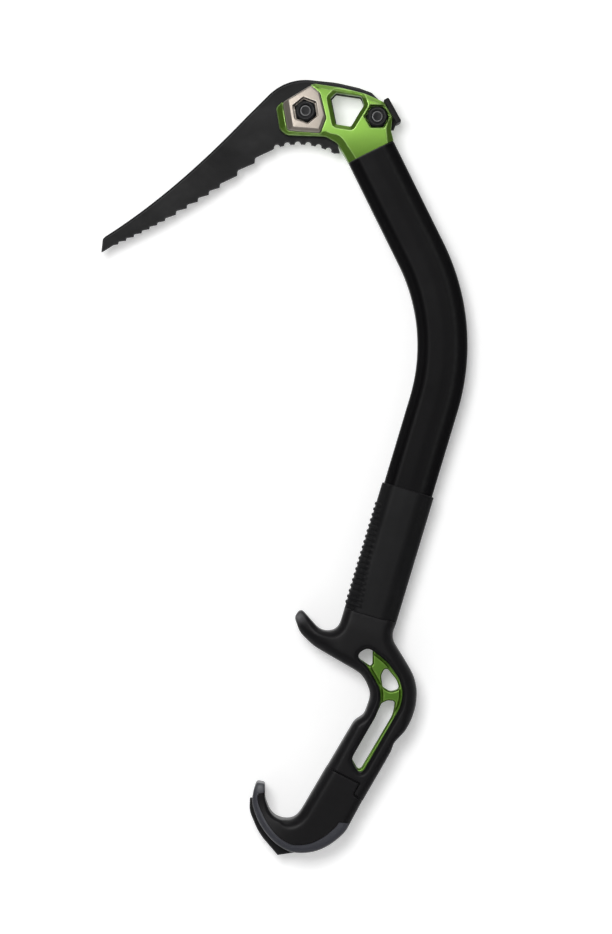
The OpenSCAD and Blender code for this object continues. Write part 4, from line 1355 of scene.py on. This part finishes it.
@dataclass
class Grip:
    """Moulded handle on its green core, pommel, bumper and spike."""

    half: float = 13.5
    core_half: float = 4.5
    field_edge: float = 2.1
    field_rise: float = 1.1
    sleeve_half: float = 17.2
    collar_half: float = 13.1
    lip_depth: float = 0.55
    trigger_thin: float = 4.6
    hook_thin: float = 2.6
    bumper_widths: tuple[float, float, float] = (2.6, 4.5, 6.6)
    bumper_end: float = 0.13
    bumper_slant: float = 0.05
    parting: float = 0.2
    roll_depth: float = 0.35
    roll_width: float = 0.7
    roll_rows: tuple[float, ...] = (-0.7, -0.5, -0.3, -0.15, 0.15, 0.3, 0.5, 0.7)
    front_line: tuple = ((-8.6, 14.2), (-47.0, -50.5))
    back_line: tuple = ((-17.5, -62.0), (15.8, -2.2))
    recess: Sequence[Corner] = ((-9.3, 56, 3), (-0.9, 49.9, 5), (7.6, 35, 8), (8.1, 26.5, 10), (4.5, 16.7, 20),
                                (-11.2, -10.6, 3), (-4.9, -21.2, 2), (20.6, 23.1, 12), (22.2, 32.1, 9),
                                (19.9, 41.2, 12), (12.2, 51.8, 20), (0, 61.4, 3))
    windows: Sequence[Sequence[Corner]] = (
        ((-9.3, 56, 2.5), (1.6, 48.9, 1.2), (2.9, 50.6, 1), (2.9, 59.4, 1.5), (0.3, 61.2, 1.5)),
        ((11.2, 48.8, 2.6), (8.3, 43.2, 5), (9.2, 35.6, 2.6), (14.2, 32.4, 5), (20.2, 34.2, 2.2), (18.4, 40, 14)),
        ((8.6, 25.2, 3), (4.4, 15.6, 20), (-10.8, -9.9, 3), (-5.7, -18.9, 2), (16.2, 18.2, 20), (17.2, 26.6, 1.8),
         (12.4, 27, 4)))
    core: Sequence[Corner] = ((-11, 84, 0), (-14, 60, 6), (-4.5, 46.4, 10), (4.2, 36, 8), (4.6, 27, 10), (1, 16, 20),
                              (-18.5, -17, 15), (-29, -36, 4), (-24.5, -48.5, 4), (-13, -42.5, 4), (2.8, -20, 15),
                              (24.5, 21, 12), (26.3, 32, 10), (23, 43.5, 12), (14.5, 56, 12), (10, 66, 8),
                              (13.5, 77, 0))
    spike: Sequence[Corner] = ((-71.2, -35.6, 1), (-76, -35.8, 0.5), (-76.3, -44, 16), (-70.3, -58.4, 40),
                               (-58.2, -72.6, 0.3), (-46, -70.8, 1), (-34, -57.5, 8), (-15.5, -41.5, 2), (-19, -33, 2),
                               (-28.5, -38, 6), (-50, -58, 8), (-66, -47, 12))
    hook: Sequence[Corner] = ((-71.8, -25, 2.6, 2.4), (-75.4, -36.5, 16, 2.8), (-70.8, -51, 30, 4),
                              (-61.5, -63.5, 30, 4), (-49.5, -70.8, 12, 4), (-35, -70.3, 16, 4), (-24.2, -65.4, 16, 4),
                              (-15.6, -58.0, 12, 4))
    trigger: Sequence[Corner] = ((-19.3, 71.6, 7, 6), (-30.5, 71.6, 9, 4.5), (-43.3, 86, 2.2, 1.9),
                                 (-47.3, 80.5, 3, 2.6), (-43.8, 70.5, 10, 5), (-35, 62, 12, 6), (-3.5, 43.8, 14, 7),
                                 (2.2, 31, 10, 7), (-2.6, 17.4, 5, 5))
    palm: Sequence[Corner] = ((14.6, -5.4, 4, 4), (16.3, 0.0, 4, 3), (23.6, 7.6, 4, 4), (27.6, 14.5, 12, 6),
                              (30.5, 22.9, 14, 7), (31.5, 33.4, 16, 8), (29.4, 43.2, 20, 8), (23.6, 53, 20, 8),
                              (14.6, 67.5, 8, 7))
    hook_tip: tuple = (-66.3, -26.0)
    wrap: tuple = (-66.25, -31.5)
    # Places of the painted highlights on the points of the two hooks.
    trigger_highlight_spot: tuple = (-45.0, 80.8)
    hook_highlight_spot: tuple = (-69.4, -28.6)

    @staticmethod
    def between(line: Sequence[Sequence[float]], share: float) -> np.ndarray:
        """Returns the point at a share of a line."""
        return (1.0 - share) * np.array(line[0]) + share * np.array(line[1])

    def parting_line(self, shift: float = 0.0) -> np.ndarray:
        """Stepped line between handle and pommel.

        Args:
            shift: How far the line is moved towards the pommel, as a multiple of its step.

        Returns:
            Its four corners from front to back.
        """
        line = (self.between(self.front_line, 0.455), (-5.5, -25.7), (-9.3, -32.6), self.between(self.back_line, 0.418))
        return np.array(line) + shift * np.array((-1.35, -0.45))

    def parted(self, shift: float) -> Loop:
        """Parting line divided finely, to measure from and to set rows of points beside.

        Args:
            shift: The same as for the parting line.

        Returns:
            The line as an outline whose closing side isn't worked.
        """
        p = self.parting_line(shift)
        s = np.r_[0.0, np.cumsum(np.linalg.norm(np.diff(p, axis=0), axis=1))]
        t = np.linspace(0.0, s[-1], 70)
        line = np.stack([np.interp(t, s, p[:, k]) for k in range(2)], 1)
        return Loop(line, np.ones(70), np.arange(70) < 69)

    def rolled(self, at: np.ndarray, shift: float) -> np.ndarray:
        """Returns the depth of the rolled edge beside the parting line, a parabola of the distance from it."""
        return self.roll_depth * np.clip(1.0 - self.parted(shift).nearest(at)[0] / self.roll_width, 0.0, 1.0) ** 2

    def handle_half(self, at: np.ndarray) -> np.ndarray:
        """Half thickness of the handle, thinner at the point of the upper hook and the collar, with rolled ends.

        Args:
            at: Places in the drawing.

        Returns:
            The half thicknesses.
        """
        foot, across = np.array(PATH.foot), PATH.at(np.zeros(1))[1][0]
        below = (foot - at) @ np.array((-across[1], across[0]))
        thin = self.trigger_thin * smooth((-17.0 - at[:, 0]) / 26.0) * smooth((at[:, 1] - 48.0) / 14.0)
        collar = (self.half - self.collar_half) * smooth(1.0 - below / 12.0)
        lip = self.lip_depth * np.clip(1.0 - below / self.roll_width, 0.0, 1.0) ** 2
        return self.half - np.maximum(thin, collar) - lip - self.rolled(at, 0.0)

    def hook_half(self, at: np.ndarray) -> np.ndarray:
        """Half thickness of the pommel, thinning a little towards the point of the lower hook.

        Args:
            at: Places in the drawing.

        Returns:
            The half thicknesses.
        """
        thin = self.hook_thin * smooth((-44.0 - at[:, 0]) / 24.0) * smooth((at[:, 1] + 66.0) / 30.0)
        return self.half - thin - self.rolled(at, self.parting)

    def overmold(self) -> Form:
        """Builds the handle: round edges whose width follows the corners, and a softened recess.

        Returns:
            The handle.
        """
        side = PATH.at(np.zeros(1))[1][0] * self.sleeve_half
        foot, p = np.array(PATH.foot), self.parting_line()
        corners = [(*(foot - side), 0, 6), *self.trigger, (*self.front_line[0], 4, 5), *((*q, 0, 7, 1) for q in p[:3]),
                   (*p[3], 0, 5), *self.palm, (*(foot + side), 0, 6, 1)]
        recess = Loop.of([(*c, 3.2) for c in self.recess], 0.8)
        recess = Opening(recess.eased(2.0, 0.6), Edge.ROUND)
        top = foot + np.linspace(-1.0, 1.0, 40)[:, None] * side
        lip = Loop(top, np.ones(40), np.ones(40, bool))
        form = Plate(Loop.of(corners, 0.9).eased(4.0, 0.35), Edge.ROUND, self.handle_half, None, [recess], 2.5,
                     guides=((lip, (-0.7, -0.45, -0.25, -0.12)), (self.parted(0.0), self.roll_rows))).form()
        # Painted highlight on the point of the upper hook.
        return self.wear_and_painted_highlight(form, self.trigger_highlight_spot, 3.6)

    @staticmethod
    def wear_and_painted_highlight(form: Form, at: Sequence[float], spread: float) -> Form:
        """Leaves little wear on a form's edges, and paints a highlight round one place: a bell of the distance from it.

        Args:
            form: Form whose mask is changed.
            at: Place of the painted highlight.

        Returns:
            The same form.
        """
        gap = np.linalg.norm(form.points[:, :2] - np.array(at), axis=1)
        form.rim = np.maximum(0.08 * form.rim, bell(gap, spread))
        return form

    def core_form(self) -> Form:
        """Builds the forged core: bevelled windows in a raised field, which falls off all round inside the recess.

        Returns:
            The core.
        """
        wall = Loop.of([(*c, 1.0) for c in self.recess], 0.8).eased(2.0, 2.0)

        def lift(at: np.ndarray) -> np.ndarray:
            """Half thickness: the field, less a smooth step down outside its edge, which lies inside the recess."""
            d = np.where(inside(at, [wall]), wall.nearest(at)[0], 0.0)
            return self.core_half + self.field_rise * smooth((d - self.field_edge + 0.9) / 0.9)

        holes = [Opening(Loop.of([(*c, 0.9) for c in w], 0.7), Edge.BEVEL) for w in self.windows]
        rows = tuple(self.field_edge + k for k in (-0.9, -0.7, -0.45, -0.25, -0.1, 0.05, 0.25))
        outer = Loop.of([(*c, 0.5) for c in self.core], 1.2)
        form = Plate(outer, Edge.SHARP, lift, None, holes, 1.6, guides=((wall, rows),)).form()
        at = form.points[:, :2]
        # Bright line along the crest of the field: edge wear and a painted highlight.
        crest_wear_and_highlight = bell(wall.nearest(at)[0] - self.field_edge + 0.1, 0.25) * inside(at, [wall])
        form.rim = np.maximum(form.rim, crest_wear_and_highlight)
        return form

    def hook_line(self) -> tuple[np.ndarray, np.ndarray]:
        """Outer edge of the hook from the middle of its tip to the bumper's end, smoothed.

        Returns:
            Its points and the edge width at each.
        """
        tip = 0.5 * (np.array(self.hook_tip) + np.array(self.hook[0][:2]))
        end = self.between(self.back_line, self.bumper_end)
        loop = Loop.of([(*tip, 0, 1.6), *self.hook, (*end, 0, 3.6, 1)], 0.7).eased(4.0, 1.0)
        last = int(np.linalg.norm(loop.points - end, axis=1).argmin()) + 1
        return loop.points[:last], loop.width[:last]

    def seam(self, shift: float) -> np.ndarray:
        """Inner edge of the bumper: the outer edge moved inwards by a width that grows along the strip.

        Args:
            shift: Added to that width.

        Returns:
            Points from the tip to the bumper's end.
        """
        line = self.hook_line()[0]
        along = unit(np.gradient(line, axis=0))
        s = np.r_[0.0, np.cumsum(np.linalg.norm(np.diff(line, axis=0), axis=1))] / 100.0
        low, mid, high = self.bumper_widths
        width = low + (mid - low) * smooth(s / 0.3) + (high - mid) * smooth((s - 0.45) / 0.45) + shift
        seam = line + np.stack((-along[:, 1], along[:, 0]), 1) * width[:, None]
        keep = np.r_[True, ((seam[1:] - seam[:-1]) * along[1:]).sum(1) > 0.05]
        return seam[keep & (s > 0.085)]

    def pommel(self) -> Form:
        """Builds the pommel between the parting line and the bumper.

        Returns:
            The pommel.
        """
        p = self.parting_line(self.parting)
        back = np.array(self.back_line, float)
        end = self.between(self.back_line, self.bumper_end + self.bumper_slant) + self.parting * unit(back[1] - back[0])
        seam = [(*q, 0, 4, 1) for q in self.seam(self.parting)]
        corners = [(*p[0], 0, 7), (*self.front_line[1], 9, 7), (-61.5, -48, 12, 2.6), (-66.3, -36, 12, 1.6),
                   (*self.wrap, 0, 1.5, 1), *seam, (*end, 0, 5.0), (*p[3], 0, 5, 1), (*p[2], 0, 7, 1), (*p[1], 0, 7, 1)]
        form = Plate(Loop.of(corners, 0.9).eased(3.0), Edge.ROUND, self.hook_half, None, grid=2.2,
                     guides=((self.parted(self.parting), self.roll_rows),)).form()
        # Painted highlight near the point of the lower hook.
        return self.wear_and_painted_highlight(form, self.hook_highlight_spot, 2.0)

    def bumper(self) -> Form:
        """Builds the bumper strip round the outer edge of the hook.

        Returns:
            The strip.
        """
        line, width = self.hook_line()
        corners = [(*line[0], 0, 2.4), *((*q, 0, w) for q, w in zip(line[1:-1], width[1:-1])), (*line[-1], 0, 3.6),
                   (*self.between(self.back_line, self.bumper_end + self.bumper_slant), 0, 3.6, 1),
                   *((*q, 0, 3, 1) for q in self.seam(0.0)[::-1]),
                   (self.wrap[0], self.wrap[1] + self.parting, 0, 1.5), (*self.hook_tip, 2.6, 2.4)]
        form = Plate(Loop.of(corners, 0.8), Edge.ROUND, self.hook_half, None, grid=1.4).form()
        # Painted highlight on the bumper at the point of the lower hook.
        return self.wear_and_painted_highlight(form, self.hook_highlight_spot, 2.4)

    def build(self) -> None:
        """Adds the pieces of the handle end."""
        add_piece("handle_frame", self.core_form(), Finishes.SHADED_CORE_GREEN, nodes=("handle_core",))
        add_piece("handle_grip", self.overmold(), Finishes.GRIP, nodes=("handle_overmold",))
        add_piece("pommel_hook", self.pommel(), Finishes.GRIP, nodes=("pommel",))
        add_piece("bumper_strip", self.bumper(), Finishes.BUMPER, nodes=("pommel_bumper",))
        plate = Plate(Loop.of([(*c, 0.5) for c in self.spike], 0.8), Edge.BEVEL, 2.0).form()
        add_piece("spike_plate", plate, Finishes.PICK, nodes=("spike",))
        for node in ("handle_pin_upper", "handle_pin_lower", "spike_rivet_upper", "spike_rivet_lower"):
            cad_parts[node].data.materials.clear()
            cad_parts[node].data.materials.append(Finishes.PIN.material())


@dataclass(frozen=True)
class Lamp:
    """Square lamp: way from the tool, distance and side in metres, power in watts; a flagged one misses the paper."""

    name: str
    way: tuple[float, float, float]
    distance: float
    size: float
    power: float
    flagged: bool = False


@dataclass
class Studio:
    """White backdrop, pale floor, soft lamps and the camera."""

    centre: tuple[float, float] = (-0.0399, 0.1768)
    distance: float = 2.4
    frame_height: float = 0.6006
    backdrop_y: float = 0.0175
    floor_z: float = -0.131
    glow: float = 0.28
    glow_rise: float = 0.28
    white: float = 0.88
    room: float = 0.045
    wall: float = 0.26
    paper_half: float = 0.6
    floor_half: float = 6.0
    sensor: float = 36.0
    lamps: Sequence[Lamp] = (Lamp("key", (-0.16, -1.0, 0.24), 1.7, 0.6, 19.0),
                             Lamp("fill", (0.9, -1.2, 0.1), 1.8, 1.2, 2.0, True),
                             Lamp("back", (0.1, 1.0, 0.5), 1.8, 0.9, 12.0),
                             Lamp("top", (0.25, -0.18, 1.0), 1.2, 0.35, 3.0, True))

    @staticmethod
    def plane(name: str, corners: Sequence[Sequence[float]], material: bpy.types.Material) -> None:
        """Adds one flat sheet to the stage.

        Args:
            name: Name of the sheet.
            corners: Its four corners, counter-clockwise as seen from its face.
            material: Its material.
        """
        mesh = bpy.data.meshes.new(name)
        mesh.from_pydata([tuple(c) for c in corners], [], [(0, 1, 2, 3)])
        mesh.materials.append(material)
        sheet = bpy.data.objects.new(name, mesh)
        bpy.context.scene.collection.objects.link(sheet)

    def paper(self) -> bpy.types.Material:
        """Makes the backdrop: white paper that keeps the shadow, seen from its front only.

        Returns:
            The material.
        """
        sheet, made = Sheet.material("white_paper")
        path, shape = sheet.add("LightPath"), sheet.add("NewGeometry")
        seen = sheet.math("ADD", sheet.math("ADD", path.outputs["Is Camera Ray"], path.outputs["Is Glossy Ray"]),
                          path.outputs["Is Transmission Ray"])
        place = sheet.add("VectorMath", {"operation": "DISTANCE"}, i0=sheet.add("TexCoord").outputs["Object"],
                          i1=(self.centre[0], self.backdrop_y, self.centre[1])).outputs["Value"]
        level = sheet.span(place, 0.15, 0.6, self.glow, self.glow + self.glow_rise)
        glow = sheet.add("Emission", None, Color=(1.0, 1.0, 1.0), Strength=sheet.add(
            "Math", {"operation": "MULTIPLY"}, i0=seen, i1=level).outputs[0])
        paper = sheet.add("BsdfDiffuse", None, Color=(self.white,) * 3)
        both = sheet.add("AddShader", None, i0=paper.outputs[0], i1=glow.outputs[0])
        open_ = sheet.math("MAXIMUM", shape.outputs["Backfacing"], path.outputs["Is Shadow Ray"])
        clear = sheet.add("BsdfTransparent")
        sheet.close(sheet.add("MixShader", None, i0=open_, i1=both.outputs[0], i2=clear.outputs[0]))
        return made

    def floor(self) -> bpy.types.Material:
        """Makes the pale floor with a faint mottle.

        Returns:
            The material.
        """
        sheet, made = Sheet.material("pale_floor")
        mottle = sheet.noise(sheet.add("TexCoord").outputs["Object"], 3.0, 3.0, 0.5)
        colour = sheet.mix(mottle, (0.52, 0.52, 0.52), (0.56, 0.56, 0.56))
        sheet.close(sheet.add("BsdfPrincipled", None, Base_Color=colour, Roughness=0.8))
        return made

    def light(self, lamp: Lamp) -> None:
        """Adds a lamp that faces the middle of the tool, and flags it off the backdrop if it says so.

        Args:
            lamp: The lamp.
        """
        light = bpy.data.lights.new(lamp.name, "AREA")
        light.shape, light.size, light.energy = "SQUARE", lamp.size, lamp.power
        made = bpy.data.objects.new(lamp.name, light)
        way = Vector(lamp.way).normalized()
        made.location = Vector((self.centre[0], 0.0, self.centre[1])) + way * lamp.distance
        made.rotation_euler = way.to_track_quat("Z", "Y").to_euler()
        bpy.context.scene.collection.objects.link(made)
        if lamp.flagged:
            flag = bpy.data.collections.new(lamp.name + "_flag")
            flag.objects.link(bpy.data.objects["backdrop"])
            flag.collection_objects[0].light_linking.link_state = "EXCLUDE"
            made.light_linking.receiver_collection = flag

    def world(self) -> None:
        """Makes a dim room with a grey wall in front of the tool and a low white cove behind it."""
        room = bpy.data.worlds.new("studio_room")
        bpy.context.scene.world = room
        room.use_nodes = True
        sheet = Sheet(room.node_tree)
        way = sheet.add("SeparateXYZ", None, i0=sheet.add("TexCoord").outputs["Generated"])
        level = sheet.add("Math", {"operation": "ABSOLUTE"}, i0=way.outputs[2]).outputs[0]
        low, behind = sheet.span(level, 0.08, 0.11, 1.0, 0.0), sheet.span(way.outputs[1], -0.1, 0.4, 0.0, 1.0)
        cove = sheet.math("MULTIPLY", low, behind)
        wall = sheet.span(way.outputs[1], -0.3, -0.85, 0.0, 1.0)
        grey = sheet.mix(wall, (self.room,) * 3, (self.wall,) * 3)
        colour = sheet.mix(cove, grey, (1.0, 1.0, 1.0))
        sheet.close(sheet.add("Background", None, Color=colour, Strength=1.0), "OutputWorld")

    def build(self) -> None:
        """Sets the stage, the lamps and the camera."""
        (x, z), h, f = self.centre, self.paper_half, self.floor_half
        around = ((-1, -1), (1, -1), (1, 1), (-1, 1))
        self.plane("backdrop", [(x + a * h, self.backdrop_y, z + b * h) for a, b in around], self.paper())
        self.plane("floor", [(a * f, b * f, self.floor_z) for a, b in around], self.floor())
        for lamp in self.lamps:
            self.light(lamp)
        self.world()
        data = bpy.data.cameras.new("camera")
        data.sensor_width, data.lens = self.sensor, self.sensor * self.distance / self.frame_height
        camera = bpy.data.objects.new("camera", data)
        camera.location = (x, -self.distance, z)
        camera.rotation_euler = (math.pi / 2.0, 0.0, 0.0)
        bpy.context.scene.collection.objects.link(camera)
        bpy.context.scene.camera = camera
        bpy.context.scene.view_settings.view_transform = "Standard"


def main() -> None:
    """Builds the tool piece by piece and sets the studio."""
    logging.basicConfig(level=logging.INFO, format="%(name)s: %(message)s")
    Effects.build()
    Studio().build()
    head = Head()
    head.build()
    Pick().build()
    Screws("front", head.front_at, head.weight_face, head.front_turn).build()
    Screws("rear", head.rear_at, head.face, 0.0).build()
    Shaft().build()
    Grip().build()


if __name__ == "__main__":
    main()
